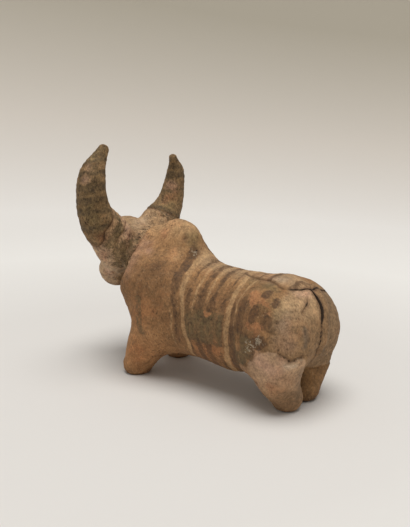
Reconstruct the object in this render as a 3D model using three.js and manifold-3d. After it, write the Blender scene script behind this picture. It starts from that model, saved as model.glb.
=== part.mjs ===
// A terracotta zebu bull about 13 cm long, built by hand from lumps and rolls of clay.
// Millimetres. +X points to the head, +Y to the bull's left, +Z up. The feet stand on z = 0.
// One field of lumps that melt into each other gives the whole skin of the bull. Each piece is
// the part of that skin within reach of its own lump, and its neighbours are hollowed to seat it.
import * as THREE from 'three';
import { mergeVertices } from 'three/addons/utils/BufferGeometryUtils.js';
import Module from 'manifold-3d';

const wasm = await Module();
wasm.setup();

// Fit between two pieces of clay that are pressed together
const clearance = 0.3;
// How far past its own lump a piece follows the blended skin
const reach = 2.7;
const tailReach = 0.7;
// Extra clay that a block has before its parting cuts trim it
const spare = 4;
// Depth of the round end of a roll in its seat, as a share of the roll's radius
const seatRoundness = 0.6;

// Barrel of the body: a thick roll with a slight waist
const rumpX = -36.5;
const waistX = -15.7;
const chestX = 12.4;
const rumpHeight = 33.9;
const waistHeight = 31.2;
const chestHeight = 34;
const rumpRadius = 21.2;
const waistRadius = 20.8;
const chestRadius = 23.6;
const rumpFlatness = 0.9;
const waistFlatness = 0.98;
const chestFlatness = 0.91;

// Hump and shoulders over the forelegs
const humpX = 19.1;
const humpHeight = 58.2;
const humpHalfLength = 13;
const humpHalfWidth = 8.6;
const humpHalfHeight = 14.9;
const shoulderX = 21.2;
const shoulderOut = 13.8;
const shoulderHeight = 41.6;
const shoulderHalfLength = 14.1;
const shoulderHalfWidth = 11;
const shoulderHalfHeight = 13.6;

// Haunches, legs and feet
const haunchX = -39.2;
const haunchOut = 11.8;
const haunchHeight = 31.6;
const haunchHalfLength = 18;
const haunchHalfWidth = 12.3;
const haunchHalfHeight = 20;
const forelegX = 23;
const forelegOut = 11.8;
const forelegTop = 25.9;
const forelegRadius = 11.9;
const forefootX = 33.4;
const forefootOut = 14.9;
const forefootHeight = 4.3;
const forefootRadius = 7;
// Where along the foreleg its seat in the shoulder lies
const forelegSeat = 0.2;
const hindLegX = -44.3;
const hindLegOut = 12.7;
const hindLegTop = 14.8;
const hindLegRadius = 8.5;
const hindFootX = -45;
const hindFootOut = 6.9;
const hindFootHeight = 5.2;
const hindFootRadius = 6.8;

// Neck and head
const throatX = 30.3;
const throatHeight = 46.8;
const throatRadius = 19.9;
const napeX = 38.3;
const napeHeight = 58.8;
const napeRadius = 10.6;
const neckFlatness = 1.13;
// Height of the step from the shoulders' edge down to the neck
const neckStep = 1.6;
const skullX = 52.8;
const skullHeight = 60.5;
const skullRadius = 10.6;
const muzzleForward = 8.1;
const muzzleDrop = 16.3;
const muzzleRadius = 9;
const cheekBack = 0.3;
const cheekOut = 9.2;
const cheekDown = 5.7;
const cheekHalfLength = 8.6;
const cheekHalfWidth = 6.8;
const cheekHalfHeight = 10;
const eyeRadius = 2.1;
const eyeDown = 2.5;
const eyeForward = 6;
const eyeStandProud = 0.9;

// Horns: root, bend and upper crook above the skull, and the point drawn in again
const hornRootBack = 5.4;
const hornCrookBack = 7.7;
const hornPointBack = 8.9;
const leftRootOut = 13.6;
const leftRootRise = -0.2;
const leftBendOut = 26.9;
const leftBendRise = 16.4;
const leftCrookOut = 29.4;
const leftCrookRise = 33.2;
const leftPointOut = 23.5;
const leftPointRise = 44;
const leftRootRadius = 10.6;
const leftBendRadius = 7.6;
const leftCrookRadius = 5.9;
const leftPointRadius = 2.5;
const rightRootOut = 14.4;
const rightRootRise = 3.4;
const rightBendOut = 24.1;
const rightBendRise = 13.9;
const rightCrookOut = 26.8;
const rightCrookRise = 30.5;
const rightPointOut = 23.8;
const rightPointRise = 37.6;
const rightRootRadius = 9.8;
const rightBendRadius = 6.9;
const rightCrookRadius = 4.3;
const rightPointRadius = 2.2;

// Parting lines, where the clay has cracked or was joined
const thighSeamX = -47.5;
const thighSeamHeight = 48;
const thighSeamLean = 0.45;
const rumpCrackSway = 2.2;
const rumpCrackHeight = 41;
const rumpCrackTurn = 4;
const leftShankTop = 27.5;
// The left joint drops ahead of the thigh seam by the distance squared over this length
const leftShankBow = 50;
const rightShankTop = 16;
const neckSeamX = 34.3;
const neckSeamHeight = 52;
const neckSeamLean = 0.7;

// Tail: a thin roll laid on the right rump beside the crack
const tailTop = 49;
const tailBottom = 25;
const tailFromCrack = 4.2;
const tailRadius = 2.3;
const tailSink = 1.2;

// How softly each lump melts into the rest
const barrelBlend = 6;
const shoulderBlend = 8;
const haunchBlend = 5;
const humpBlend = 9;
const forelegBlend = 9;
const hindLegBlend = 5;
const neckBlend = 8;
const cheekBlend = 5;
const headBlend = 4;
const hornBlend = 3;
// Under the horns their clay is smeared wider, between these heights from the middle of the skull
const hornRootBlend = 7;
const smearFrom = 2.5;
const smearTo = -5.5;
const tailBlend = 1.5;

// Points round and along the net of each kind of piece
const nets = {
  torso: [36, 28],
  hump: [24, 14],
  neck: [32, 20],
  head: [28, 20],
  horn: [20, 22],
  foreleg: [20, 14],
  haunch: [24, 16],
  shank: [20, 14],
  tail: [8, 12],
};
const hornLinks = 8;
const hornSpineFrom = 0.02;
const hornSpineTo = 0.985;
const tailLinks = 6;
const seamSteps = 36;
const straightEnough = 0.01;
const cutterReach = 2 * (skullX - rumpX);
const ground = 0;

const point = (x, y, z) => new THREE.Vector3(x, y, z);

// Smooth minimum: the lower of two distances, rounded over the given width
function melt(a, b, width) {
  const share = THREE.MathUtils.clamp(0.5 + (0.5 * (b - a)) / width, 0, 1);
  return b + (a - b) * share - width * share * (1 - share);
}

// Distance to a roll of clay between two balls, squashed sideways by its flatness
function roll(p, from, to, fromRadius, toRadius, flatness = 1) {
  const ax = to.x - from.x;
  const ay = (to.y - from.y) / flatness;
  const az = to.z - from.z;
  const px = p.x - from.x;
  const py = (p.y - from.y) / flatness;
  const pz = p.z - from.z;
  const lengthSquared = ax * ax + ay * ay + az * az;
  const share = THREE.MathUtils.clamp((px * ax + py * ay + pz * az) / lengthSquared, 0, 1);
  const gap = Math.hypot(px - ax * share, py - ay * share, pz - az * share);
  return gap - (fromRadius + (toRadius - fromRadius) * share);
}

// Distance to an egg-shaped lump
function lump(p, centre, radii) {
  const qx = (p.x - centre.x) / radii.x;
  const qy = (p.y - centre.y) / radii.y;
  const qz = (p.z - centre.z) / radii.z;
  const size = Math.hypot(qx, qy, qz);
  const slope = Math.hypot(qx / radii.x, qy / radii.y, qz / radii.z);
  return slope < 1e-9 ? -Math.min(radii.x, radii.y, radii.z) : (size * (size - 1)) / slope;
}

// Round end of a roll at its seat: a ball behind a centre, and nothing ahead of it
function seatAt(place, heading, radius) {
  const centre = place.clone().addScaledVector(heading, radius * seatRoundness);
  const size = radius * Math.hypot(1, seatRoundness);
  const past = centre.dot(heading);
  return (p) => {
    const ahead = p.dot(heading) - past;
    return ahead < 0 ? p.distanceTo(centre) - size : -ahead;
  };
}

// A horn or tail as short links along a centre line, with a radius at each end of each link
function links(curve, radiusAt, count) {
  const at = (i) => i / count;
  return Array.from({ length: count }, (_, i) => ({
    from: curve.getPoint(at(i)),
    to: curve.getPoint(at(i + 1)),
    fromRadius: radiusAt(at(i)),
    toRadius: radiusAt(at(i + 1)),
  }));
}

function chain(p, parts) {
  let nearest = Infinity;
  for (const link of parts) {
    nearest = Math.min(nearest, roll(p, link.from, link.to, link.fromRadius, link.toRadius));
  }
  return nearest;
}

const rump = point(rumpX, 0, rumpHeight);
const waist = point(waistX, 0, waistHeight);
const chest = point(chestX, 0, chestHeight);
const humpCentre = point(humpX, 0, humpHeight);
const humpSize = point(humpHalfLength, humpHalfWidth, humpHalfHeight);
const shoulderSize = point(shoulderHalfLength, shoulderHalfWidth, shoulderHalfHeight);
const haunchSize = point(haunchHalfLength, haunchHalfWidth, haunchHalfHeight);
const throat = point(throatX, 0, throatHeight);
const nape = point(napeX, 0, napeHeight);
const skull = point(skullX, 0, skullHeight);
const muzzle = point(skullX + muzzleForward, 0, skullHeight - muzzleDrop);
const cheek = point(skullX - cheekBack, cheekOut, skullHeight - cheekDown);
const cheekSize = point(cheekHalfLength, cheekHalfWidth, cheekHalfHeight);
const shoulder = point(shoulderX, shoulderOut, shoulderHeight);
const haunch = point(haunchX, haunchOut, haunchHeight);
const foreleg = point(forelegX, forelegOut, forelegTop);
const forefoot = point(forefootX, forefootOut, forefootHeight);
const hindLeg = point(hindLegX, hindLegOut, hindLegTop);
const hindFoot = point(hindFootX, hindFootOut, hindFootHeight);

// Centre line and thickness of one horn, from the root inside the head to the point
function hornOf(side, outs, rises, radii) {
  const backs = [hornRootBack, hornRootBack, hornCrookBack, hornPointBack];
  const places = outs.map((out, i) => point(skullX - backs[i], side * out, skullHeight + rises[i]));
  const curve = new THREE.CatmullRomCurve3(places);
  const thickness = new THREE.SplineCurve(radii.map((radius, i) => new THREE.Vector2(i, radius)));
  const radiusAt = (share) => thickness.getPoint(share).y;
  return { curve, rolls: links(curve, radiusAt, hornLinks) };
}

const leftHorn = hornOf(
  1,
  [leftRootOut, leftBendOut, leftCrookOut, leftPointOut],
  [leftRootRise, leftBendRise, leftCrookRise, leftPointRise],
  [leftRootRadius, leftBendRadius, leftCrookRadius, leftPointRadius],
);
const rightHorn = hornOf(
  -1,
  [rightRootOut, rightBendOut, rightCrookOut, rightPointOut],
  [rightRootRise, rightBendRise, rightCrookRise, rightPointRise],
  [rightRootRadius, rightBendRadius, rightCrookRadius, rightPointRadius],
);

// Body without legs, hump, neck and head. Both sides are alike, so it is worked out on the left.
function body(p, left) {
  const rear = roll(p, rump, waist, rumpRadius, waistRadius, rumpFlatness);
  const front = roll(p, waist, chest, waistRadius, chestRadius, (waistFlatness + chestFlatness) / 2);
  const barrel = melt(rear, front, barrelBlend);
  const withShoulders = melt(barrel, lump(left, shoulder, shoulderSize), shoulderBlend);
  return melt(withShoulders, lump(left, haunch, haunchSize), haunchBlend);
}

const mirrored = new THREE.Vector3();

function onLeft(p) {
  return mirrored.set(p.x, Math.abs(p.y), p.z);
}

const humpOf = (p) => lump(p, humpCentre, humpSize);
const forelegOf = (left) => roll(left, foreleg, forefoot, forelegRadius, forefootRadius);
const hindLegOf = (left) => roll(left, hindLeg, hindFoot, hindLegRadius, hindFootRadius);

// Parting lines: x of the thigh seam and neck seam, y of the rump crack, z of the shank joints
const thighSeam = (z) => thighSeamX + thighSeamLean * (thighSeamHeight - z);
const neckSeam = (z) => neckSeamX + neckSeamLean * Math.max(0, neckSeamHeight - z);
const rumpCrack = (z) => rumpCrackSway * Math.tanh((rumpCrackHeight - z) / rumpCrackTurn);
const leftShank = (x) => leftShankTop - Math.max(0, x - thighSeamX) ** 2 / leftShankBow;
const rightShank = () => rightShankTop;

const neckOf = (p) => roll(p, throat, nape, throatRadius, napeRadius, neckFlatness);

function headOf(p) {
  const core = roll(p, skull, muzzle, skullRadius, muzzleRadius);
  return melt(core, lump(onLeft(p), cheek, cheekSize), cheekBlend);
}

// The whole bull as one skin, with the neck lowered by the step for the pieces in front of its seam
function figure(p, step = 0) {
  const left = onLeft(p);
  let skin = body(p, left);
  skin = melt(skin, humpOf(p), humpBlend);
  skin = melt(skin, forelegOf(left), forelegBlend);
  skin = melt(skin, hindLegOf(left), hindLegBlend);
  skin = melt(skin, neckOf(p) + step, neckBlend);
  skin = melt(skin, headOf(p), headBlend);
  const smear = THREE.MathUtils.smoothstep(skullHeight + smearFrom - p.z, 0, smearFrom - smearTo);
  const rootBlend = THREE.MathUtils.lerp(hornBlend, hornRootBlend, smear);
  skin = melt(skin, chain(p, leftHorn.rolls), rootBlend);
  return melt(skin, chain(p, rightHorn.rolls), rootBlend);
}

// Closed mesh whose shared corners are merged, as a solid that can be joined and cut
function solidOf(geometry) {
  geometry.deleteAttribute('normal');
  geometry.deleteAttribute('uv');
  const merged = mergeVertices(geometry);
  return new wasm.Manifold(
    new wasm.Mesh({
      numProp: 3,
      vertProperties: new Float32Array(merged.getAttribute('position').array),
      triVerts: new Uint32Array(merged.index.array),
    }),
  );
}

const sideways = new THREE.Matrix4().makeBasis(point(1, 0, 0), point(0, 0, 1), point(0, -1, 0));
const lengthways = new THREE.Matrix4().makeBasis(point(0, 1, 0), point(0, 0, 1), point(1, 0, 0));

// Outline without the points that lie straight between their neighbours
function bendsOf(outline) {
  return outline.filter(([x, y], i) => {
    const [ax, ay] = outline.at(i - 1);
    const [bx, by] = outline[(i + 1) % outline.length];
    return Math.abs((x - ax) * (by - ay) - (y - ay) * (bx - ax)) > straightEnough;
  });
}

// Block on one side of a parting line. The line is an outline in the XZ or YZ plane, moved by
// half the clearance along its normal, and the block runs right through the figure.
function blockBeside(line, side, { across = false, level = false } = {}) {
  const low = level ? rumpX - cutterReach / 2 : ground - cutterReach / 4;
  const high = low + cutterReach;
  const outline = [];
  for (let i = 0; i <= seamSteps; i += 1) {
    const along = low + ((high - low) * i) / seamSteps;
    const slope = (line(along + spare / 2) - line(along - spare / 2)) / spare;
    const off = line(along) + (side * clearance * Math.hypot(1, slope)) / 2;
    outline.push(level ? [along, off] : [off, along]);
  }
  const edge = 3 * side * cutterReach;
  outline.push(level ? [high, edge] : [edge, high]);
  outline.push(level ? [low, edge] : [edge, low]);
  const shape = new THREE.Shape(bendsOf(outline).map(([a, b]) => new THREE.Vector2(a, b)));
  const geometry = new THREE.ExtrudeGeometry(shape, { depth: 2 * cutterReach, bevelEnabled: false });
  geometry.translate(0, 0, -cutterReach);
  geometry.applyMatrix4(across ? lengthways : sideways);
  return solidOf(geometry);
}

const behindThighSeam = blockBeside(thighSeam, -1);
const aheadOfThighSeam = blockBeside(thighSeam, 1);
const behindNeckSeam = blockBeside(neckSeam, -1);
const aheadOfNeckSeam = blockBeside(neckSeam, 1);
const leftOfCrack = blockBeside(rumpCrack, 1, { across: true });
const rightOfCrack = blockBeside(rumpCrack, -1, { across: true });
const leftHalf = blockBeside(() => 0, 1, { across: true });
const rightHalf = blockBeside(() => 0, -1, { across: true });
const aboveLeftShank = blockBeside(leftShank, 1, { level: true });
const belowLeftShank = blockBeside(leftShank, -1, { level: true });
const aboveRightShank = blockBeside(rightShank, 1, { level: true });
const belowRightShank = blockBeside(rightShank, -1, { level: true });

// The flat that a foot is pressed down on
const slab = new THREE.BoxGeometry(2 * cutterReach, 2 * cutterReach, cutterReach);
const floor = solidOf(slab.translate(0, 0, ground - cutterReach / 2));

// Ball of points blown up from a spine until each point meets the field. Its poles lie on the
// ends of the spine. A high straightness keeps the rings square to a long spine.
function blowUp(field, spine, [around, along], straightness = 1) {
  const geometry = new THREE.SphereGeometry(1, around, along);
  geometry.deleteAttribute('normal');
  geometry.deleteAttribute('uv');
  const ball = mergeVertices(geometry);
  const places = ball.getAttribute('position');
  const unit = point(0, 0, 0);
  const place = point(0, 0, 0);
  for (let i = 0; i < places.count; i += 1) {
    unit.fromBufferAttribute(places, i).normalize();
    const share = THREE.MathUtils.clamp((unit.y + 1) / 2, 0, 1);
    const start = spine.getPoint(share);
    const tangent = spine.getTangent(share);
    const aside = Math.abs(tangent.x) > 0.9 ? point(0, 0, 1) : point(1, 0, 0);
    const across = aside.cross(tangent).normalize();
    const other = point(0, 0, 0).crossVectors(across, tangent);
    const tilt = Math.sign(unit.y) * Math.abs(unit.y) ** straightness;
    const flat = Math.sqrt(Math.max(0, 1 - tilt * tilt)) / Math.max(1e-9, Math.hypot(unit.x, unit.z));
    const heading = tangent.clone().multiplyScalar(tilt);
    heading.addScaledVector(across, unit.z * flat).addScaledVector(other, -unit.x * flat);
    const inside = (distance) => field(place.copy(start).addScaledVector(heading, distance)) < 0;
    let far = 0.5;
    while (inside(far) && far < cutterReach) {
      far += 0.5;
    }
    let near = far - 0.5;
    while (far - near > 0.002) {
      const middle = (near + far) / 2;
      if (inside(middle)) near = middle;
      else far = middle;
    }
    place.copy(start).addScaledVector(heading, near);
    places.setXYZ(i, place.x, place.y, place.z);
  }
  return solidOf(ball);
}

const straight = (from, to) => new THREE.LineCurve3(from, to);
const stretchOf = (curve, from, to) => ({
  getPoint: (share) => curve.getPoint(from + (to - from) * share),
  getTangent: (share) => curve.getTangent(from + (to - from) * share),
});

// Largest body of a solid, without any crumb that a cut left
function wholeOf(solid) {
  const bodies = solid.decompose();
  return bodies.reduce((best, next) => (next.volume() > best.volume() ? next : best));
}

const group = new THREE.Group();

function add(name, solid, colour, roughness = 0.9) {
  const mesh = wholeOf(solid).getMesh();
  const geometry = new THREE.BufferGeometry();
  geometry.setAttribute('position', new THREE.BufferAttribute(mesh.vertProperties, 3));
  geometry.setIndex(new THREE.BufferAttribute(mesh.triVerts, 1));
  geometry.computeVertexNormals();
  const material = new THREE.MeshStandardMaterial({ color: colour, roughness, metalness: 0 });
  const piece = new THREE.Mesh(geometry, material);
  piece.name = name;
  group.add(piece);
}

// A piece that seats in its neighbours by a round end, and the hollow that takes it
function seated(field, spine, net, straightness) {
  return {
    piece: blowUp(field, spine, net, straightness),
    hollow: blowUp((p) => field(p) - clearance, spine, net, straightness),
  };
}

const humpSpine = straight(
  point(humpX, 0, humpHeight - humpHalfWidth / 2),
  point(humpX, 0, humpHeight + humpHalfWidth / 2),
);
const hump = seated((p) => Math.max(figure(p), humpOf(p) - reach), humpSpine, nets.hump);

function forelegPiece(side) {
  const top = point(foreleg.x, side * foreleg.y, foreleg.z);
  const foot = point(forefoot.x, side * forefoot.y, forefoot.z);
  const seat = top.clone().lerp(foot, forelegSeat);
  const radius = THREE.MathUtils.lerp(forelegRadius, forefootRadius, forelegSeat);
  const wall = seatAt(seat, foot.clone().sub(top).normalize(), radius);
  const field = (p) => Math.max(figure(p), forelegOf(onLeft(p)) - reach, wall(p), -side * p.y - spare);
  return seated(field, straight(seat.lerp(foot, forelegSeat), foot), nets.foreleg);
}

const leftForeleg = forelegPiece(1);
const rightForeleg = forelegPiece(-1);

function hornPiece(horn) {
  const field = (p) => Math.max(figure(p, neckStep), chain(p, horn.rolls) - reach);
  return seated(field, stretchOf(horn.curve, hornSpineFrom, hornSpineTo), nets.horn, 3);
}

const leftHornPiece = hornPiece(leftHorn);
const rightHornPiece = hornPiece(rightHorn);

const head = seated(
  (p) => Math.max(figure(p, neckStep), headOf(p) - reach),
  straight(skull, muzzle),
  nets.head,
);

// Eye: a pellet of clay pressed on the side of the face
function eyePellet(side, radius) {
  const from = point(skullX + eyeForward, 0, skullHeight - eyeDown);
  const heading = point(eyeForward, side * skullRadius, 0).normalize();
  const place = from.clone();
  while (figure(place) < eyeStandProud - eyeRadius) {
    place.addScaledVector(heading, 0.05);
  }
  return solidOf(new THREE.SphereGeometry(radius, 10, 6).translate(place.x, place.y, place.z));
}

// Centre line of the tail, just under the skin and beside the crack
function tailPlace(share) {
  const z = tailTop + (tailBottom - tailTop) * share;
  const place = point(rumpX, rumpCrack(z) - tailFromCrack, z);
  while (figure(place) < -tailSink) {
    place.x -= 0.05;
  }
  return place;
}

const tailLine = new THREE.CatmullRomCurve3(
  Array.from({ length: tailLinks + 1 }, (_, i) => tailPlace(i / tailLinks)),
);
const tailParts = links(tailLine, (share) => tailRadius * (1 - share / 4), tailLinks);
const tail = seated(
  (p) => {
    const strip = chain(p, tailParts);
    return Math.max(melt(figure(p), strip, tailBlend), strip - tailReach);
  },
  tailLine,
  nets.tail,
  4,
);

const torso = blowUp(
  (p) => Math.max(
    figure(p),
    Math.min(body(p, onLeft(p)), neckOf(p)) - reach,
    thighSeam(p.z) - spare - p.x,
    p.x - neckSeam(p.z) - spare,
  ),
  straight(point(rumpX, 0, rumpHeight), point(shoulderX, 0, shoulderHeight)),
  nets.torso,
)
  .intersect(aheadOfThighSeam)
  .intersect(behindNeckSeam)
  .subtract(hump.hollow)
  .subtract(head.hollow)
  .subtract(leftHornPiece.hollow)
  .subtract(rightHornPiece.hollow)
  .subtract(leftForeleg.hollow)
  .subtract(rightForeleg.hollow);

const neck = blowUp(
  (p) => Math.max(figure(p, neckStep), neckOf(p) - reach, neckSeam(p.z) - spare - p.x),
  straight(point((throatX + skullX) / 2, 0, throatHeight + reach), point(napeX + reach, 0, napeHeight)),
  nets.neck,
)
  .intersect(aheadOfNeckSeam)
  .subtract(hump.hollow)
  .subtract(head.hollow)
  .subtract(leftHornPiece.hollow)
  .subtract(rightHornPiece.hollow)
  .subtract(leftForeleg.hollow)
  .subtract(rightForeleg.hollow);

const haunchSpine = (side) => straight(
  point(thighSeamX, side * haunchOut, haunchHeight),
  point(thighSeamX - reach, side * haunchOut, thighSeamHeight - 3 * reach),
);

function haunchPiece(side, shank) {
  return blowUp(
    (p) => Math.max(
      figure(p),
      p.x - thighSeam(p.z) - spare,
      side * (rumpCrack(p.z) - p.y) - spare,
      shank(p.x) - spare - p.z,
    ),
    haunchSpine(side),
    nets.haunch,
  );
}

function shankPiece(side, shank) {
  const hip = point(hindLegX, side * hindLegOut, (hindLegTop + shank(hindLegX)) / 2);
  const foot = point(hindFootX, side * hindFootOut, hindFootHeight);
  return blowUp(
    (p) => Math.max(
      figure(p),
      p.x - thighSeam(p.z) - spare,
      side * (rumpCrack(p.z) - p.y) - spare,
      p.z - shank(p.x) - spare,
    ),
    straight(hip, foot),
    nets.shank,
  );
}

const clay = 0xb08a66;
const buffClay = 0xb39472;
const darkPaint = 0x66594a;
const hornPaint = 0x7a6b55;
const mendClay = 0xb58d72;
const stripedClay = 0x8f775a;

add('torso', torso, stripedClay);
add('hump', hump.piece, clay);
add('neck', neck, darkPaint);

const leftEyeHollow = eyePellet(1, eyeRadius + clearance);
const rightEyeHollow = eyePellet(-1, eyeRadius + clearance);
add('head', head.piece.subtract(leftEyeHollow).subtract(rightEyeHollow), buffClay);
add('eye_left', eyePellet(1, eyeRadius), darkPaint);
add('eye_right', eyePellet(-1, eyeRadius), darkPaint);
add('horn_left', leftHornPiece.piece.subtract(head.hollow).subtract(leftEyeHollow), hornPaint);
add('horn_right', rightHornPiece.piece.subtract(head.hollow).subtract(rightEyeHollow), hornPaint);
add('foreleg_left', leftForeleg.piece.intersect(leftHalf).subtract(floor), clay);
add('foreleg_right', rightForeleg.piece.intersect(rightHalf).subtract(floor), clay);

const leftRear = behindThighSeam.intersect(leftOfCrack);
const rightRear = behindThighSeam.intersect(rightOfCrack);
const rightHaunch = haunchPiece(-1, rightShank).intersect(rightRear).intersect(aboveRightShank);
const leftHindLeg = shankPiece(1, leftShank).intersect(leftRear).intersect(belowLeftShank);
const rightHindLeg = shankPiece(-1, rightShank).intersect(rightRear).intersect(belowRightShank);
add('haunch_left', haunchPiece(1, leftShank).intersect(leftRear).intersect(aboveLeftShank), buffClay);
add('haunch_right', rightHaunch.subtract(tail.hollow), buffClay);
add('tail', tail.piece.intersect(rightRear).intersect(aboveRightShank), clay);
add('hind_leg_left', leftHindLeg.subtract(floor), mendClay);
add('hind_leg_right', rightHindLeg.subtract(floor), clay);

// The bull stands with the middle of its footprint over the origin
const middle = new THREE.Box3().setFromObject(group).getCenter(point(0, 0, 0));
group.position.set(-middle.x, -middle.y, ground);

export default group;
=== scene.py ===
import math
import bpy
import numpy as np
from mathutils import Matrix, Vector


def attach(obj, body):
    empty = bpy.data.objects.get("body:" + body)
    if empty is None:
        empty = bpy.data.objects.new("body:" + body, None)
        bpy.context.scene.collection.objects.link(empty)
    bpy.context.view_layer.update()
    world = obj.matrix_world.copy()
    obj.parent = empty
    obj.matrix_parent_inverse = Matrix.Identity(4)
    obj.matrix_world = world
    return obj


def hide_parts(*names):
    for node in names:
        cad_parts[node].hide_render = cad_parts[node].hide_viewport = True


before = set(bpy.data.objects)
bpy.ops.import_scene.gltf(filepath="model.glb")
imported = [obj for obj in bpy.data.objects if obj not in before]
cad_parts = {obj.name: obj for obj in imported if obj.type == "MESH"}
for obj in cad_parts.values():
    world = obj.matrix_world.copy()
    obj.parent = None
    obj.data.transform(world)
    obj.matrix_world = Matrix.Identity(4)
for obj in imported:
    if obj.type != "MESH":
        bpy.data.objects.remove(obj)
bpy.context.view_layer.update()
print("frame loaded")

# Shapes are worked out in millimetres: x to the head, y to the bull's left, z up from the feet.
# The whole bull is one skin of clay lumps melted together, and each piece is its own share of it.
standing = np.array([5.7417, 2.0317, 0.0])  # this point of the figure stands over the origin


def melt(a, b, width):
    # the lower of two distances, rounded over the width
    share = np.clip(0.5 + 0.5 * (b - a) / width, 0, 1)
    return b + (a - b) * share - width * share * (1 - share)


def meet(a, b, width):
    # the higher of two distances, rounded over the width
    return -melt(-a, -b, width)


def rise(low, high, value):
    # 0 below low, 1 above high, smooth between
    share = np.clip((value - low) / (high - low), 0, 1)
    return share * share * (3 - 2 * share)


def hill(value, width):
    # 1 at zero, falling off as a bell of the given width
    return np.exp(-(value / width) ** 2)


def lengths(rows):
    return np.linalg.norm(rows, axis=1)


def roll(p, start, end, startRadius, endRadius, flatness=1.0):
    # distance to a roll between two balls: nearest point of the line, less the radius there
    squash = np.array([1, 1 / flatness, 1])
    a = np.array(start) * squash
    line = np.array(end) * squash - a
    q = p * squash - a
    share = np.clip(q @ line / (line @ line), 0, 1)
    gap = lengths(q - share[:, None] * line)
    return gap - (startRadius + (endRadius - startRadius) * share)


def lump(p, centre, radii):
    # distance to an egg: size in radii times size less one, over the slope
    q = (p - np.array(centre)) / np.array(radii)
    size = lengths(q) + 1e-9
    slope = lengths(q / np.array(radii)) + 1e-9
    return size * (size - 1) / slope


def wobble(p, size, seed, waves=9):
    # sum of sine waves in random directions, about -1 to 1
    random = np.random.default_rng(seed)
    ways = random.normal(size=(waves, 3))
    ways /= lengths(ways)[:, None]
    ways *= (2 * math.pi / (size * random.uniform(0.7, 1.5, waves)))[:, None]
    shifts = random.uniform(0, 2 * math.pi, waves)
    return np.sin(p @ ways.T + shifts).sum(axis=1) / waves ** 0.5 / 1.4


def lineGap(p, points):
    # distance to a line through points, and how far along it the nearest point lies
    best = np.full(len(p), 1e9)
    along = np.zeros(len(p))
    walked = 0.0
    for start, end in zip(points[:-1], points[1:]):
        start, line = np.array(start), np.array(end) - np.array(start)
        length = np.linalg.norm(line)
        share = np.clip((p - start) @ line / length ** 2, 0, 1)
        gap = lengths(p - start - share[:, None] * line)
        nearer = gap < best
        best = np.where(nearer, gap, best)
        along = np.where(nearer, walked + share * length, along)
        walked += length
    return best, along / walked


barrel = {
    "rump": (-36.5, 0, 33.9), "waist": (-15.7, 0, 31.2), "chest": (12.4, 0, 34),
    "radii": (21.2, 20.8, 23.6), "flatness": (0.9, 0.945),
    "shoulder": (21.2, 13.8, 41.6), "shoulderSize": (14.1, 11, 13.6),
    "haunch": (-39.2, 11.8, 31.6), "haunchSize": (18, 12.3, 20),
    "spine": ((-36.5, 0, 33.9), (21.2, 0, 41.6)), "around": 372, "along": 248,
}
humpClay = {
    "centre": (19.1, 0, 58.2), "size": (13, 8.6, 14.9),
    "spine": ((19.1, 0, 53.9), (19.1, 0, 62.5)), "around": 170, "along": 110,
}
forelegClay = {
    "top": (23, 11.8, 25.9), "foot": (33.4, 14.9, 4.3), "radii": (11.9, 7),
    "around": 190, "along": 150,
}
hindLegClay = {
    "top": (-44.3, 12.7, 14.8), "foot": (-45, 6.9, 5.2), "radii": (8.5, 6.8),
    "spineTop": {"left": 20.5, "right": 15.4}, "around": 180, "along": 140,
}
neckClay = {
    "throat": (30.3, 0, 46.8), "nape": (38.3, 0, 58.8), "radii": (19.9, 10.6), "recess": 1.6,
    "flatness": 1.13, "seamX": 34.3, "seamHeight": 52, "lean": 0.7,
    "spine": ((41.55, 0, 49.5), (41, 0, 58.8)), "around": 250, "along": 130,
}
headClay = {
    "skull": (52.8, 0, 60.5), "muzzle": (60.9, 0, 44.2), "radii": (10.6, 9),
    "cheek": (52.5, 9.2, 54.8), "cheekSize": (8.6, 6.8, 10),
    "around": 240, "along": 180,
}
haunchClay = {
    "seamX": -47.5, "seamHeight": 48, "lean": 0.45,
    "spine": ((-47.5, 11.8, 31.6), (-50.2, 11.8, 39.9)), "around": 230, "along": 160,
    "crackSway": 2.2, "crackHeight": 41, "crackTurn": 4, "rightTop": 16,
    "swingAt": (-14, -8.4, -3.5, -0.5, 3, 5.4, 7.8, 9, 9.7, 12, 16, 21),
    "swing": (-2.8, -1.7, -1.2, -0.1, 0.6, 2.2, 3.6, 5.4, 7, 6.5, 3, 0),
    "mendAt": (-57, -56, -53.2, -51.9, -49.2, -45.8, -42.4, -37.7, -34),
    "mendTop": (27.3, 27.3, 26.2, 27.9, 29.6, 29.8, 28.2, 24.2, 20),
}
reach = 2.7  # how far past its own lump a piece follows the skin
lap = 1.5  # how far a piece runs on under its neighbour where the clay is blended
bottomOfFeet = 0.0


def curvePoints(points, count):
    # centripetal Catmull-Rom line through four points
    points = np.array(points, float)
    ends = np.vstack([2 * points[0] - points[1], points, 2 * points[-1] - points[-2]])
    made = []
    for share in np.linspace(0, 1, count + 1):
        place = share * (len(points) - 1)
        i = min(int(place), len(points) - 2)
        a, b, c, d = ends[i:i + 4]
        ab, bc, cd = (max(np.linalg.norm(v) ** 0.5, 1e-4) for v in (b - a, c - b, d - c))
        start = (b - a) / ab - (c - a) / (ab + bc) + (c - b) / bc
        end = (c - b) / bc - (d - b) / (bc + cd) + (d - c) / cd
        start, end, t = start * bc, end * bc, place - i
        made.append(b + start * t + (3 * (c - b) - 2 * start - end) * t ** 2
                    + (2 * (b - c) + start + end) * t ** 3)
    return np.array(made)


def curveWidths(widths, count):
    # plain Catmull-Rom run through four widths
    ends = [widths[0], *widths, widths[-1]]
    made = []
    for share in np.linspace(0, 1, count + 1):
        place = share * (len(widths) - 1)
        i = min(int(place), len(widths) - 2)
        a, b, c, d = ends[i:i + 4]
        start, end, t = (c - a) / 2, (d - b) / 2, place - i
        made.append((2 * b - 2 * c + start + end) * t ** 3
                    + (-3 * b + 3 * c - 2 * start - end) * t ** 2 + start * t + b)
    return np.array(made)


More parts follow.
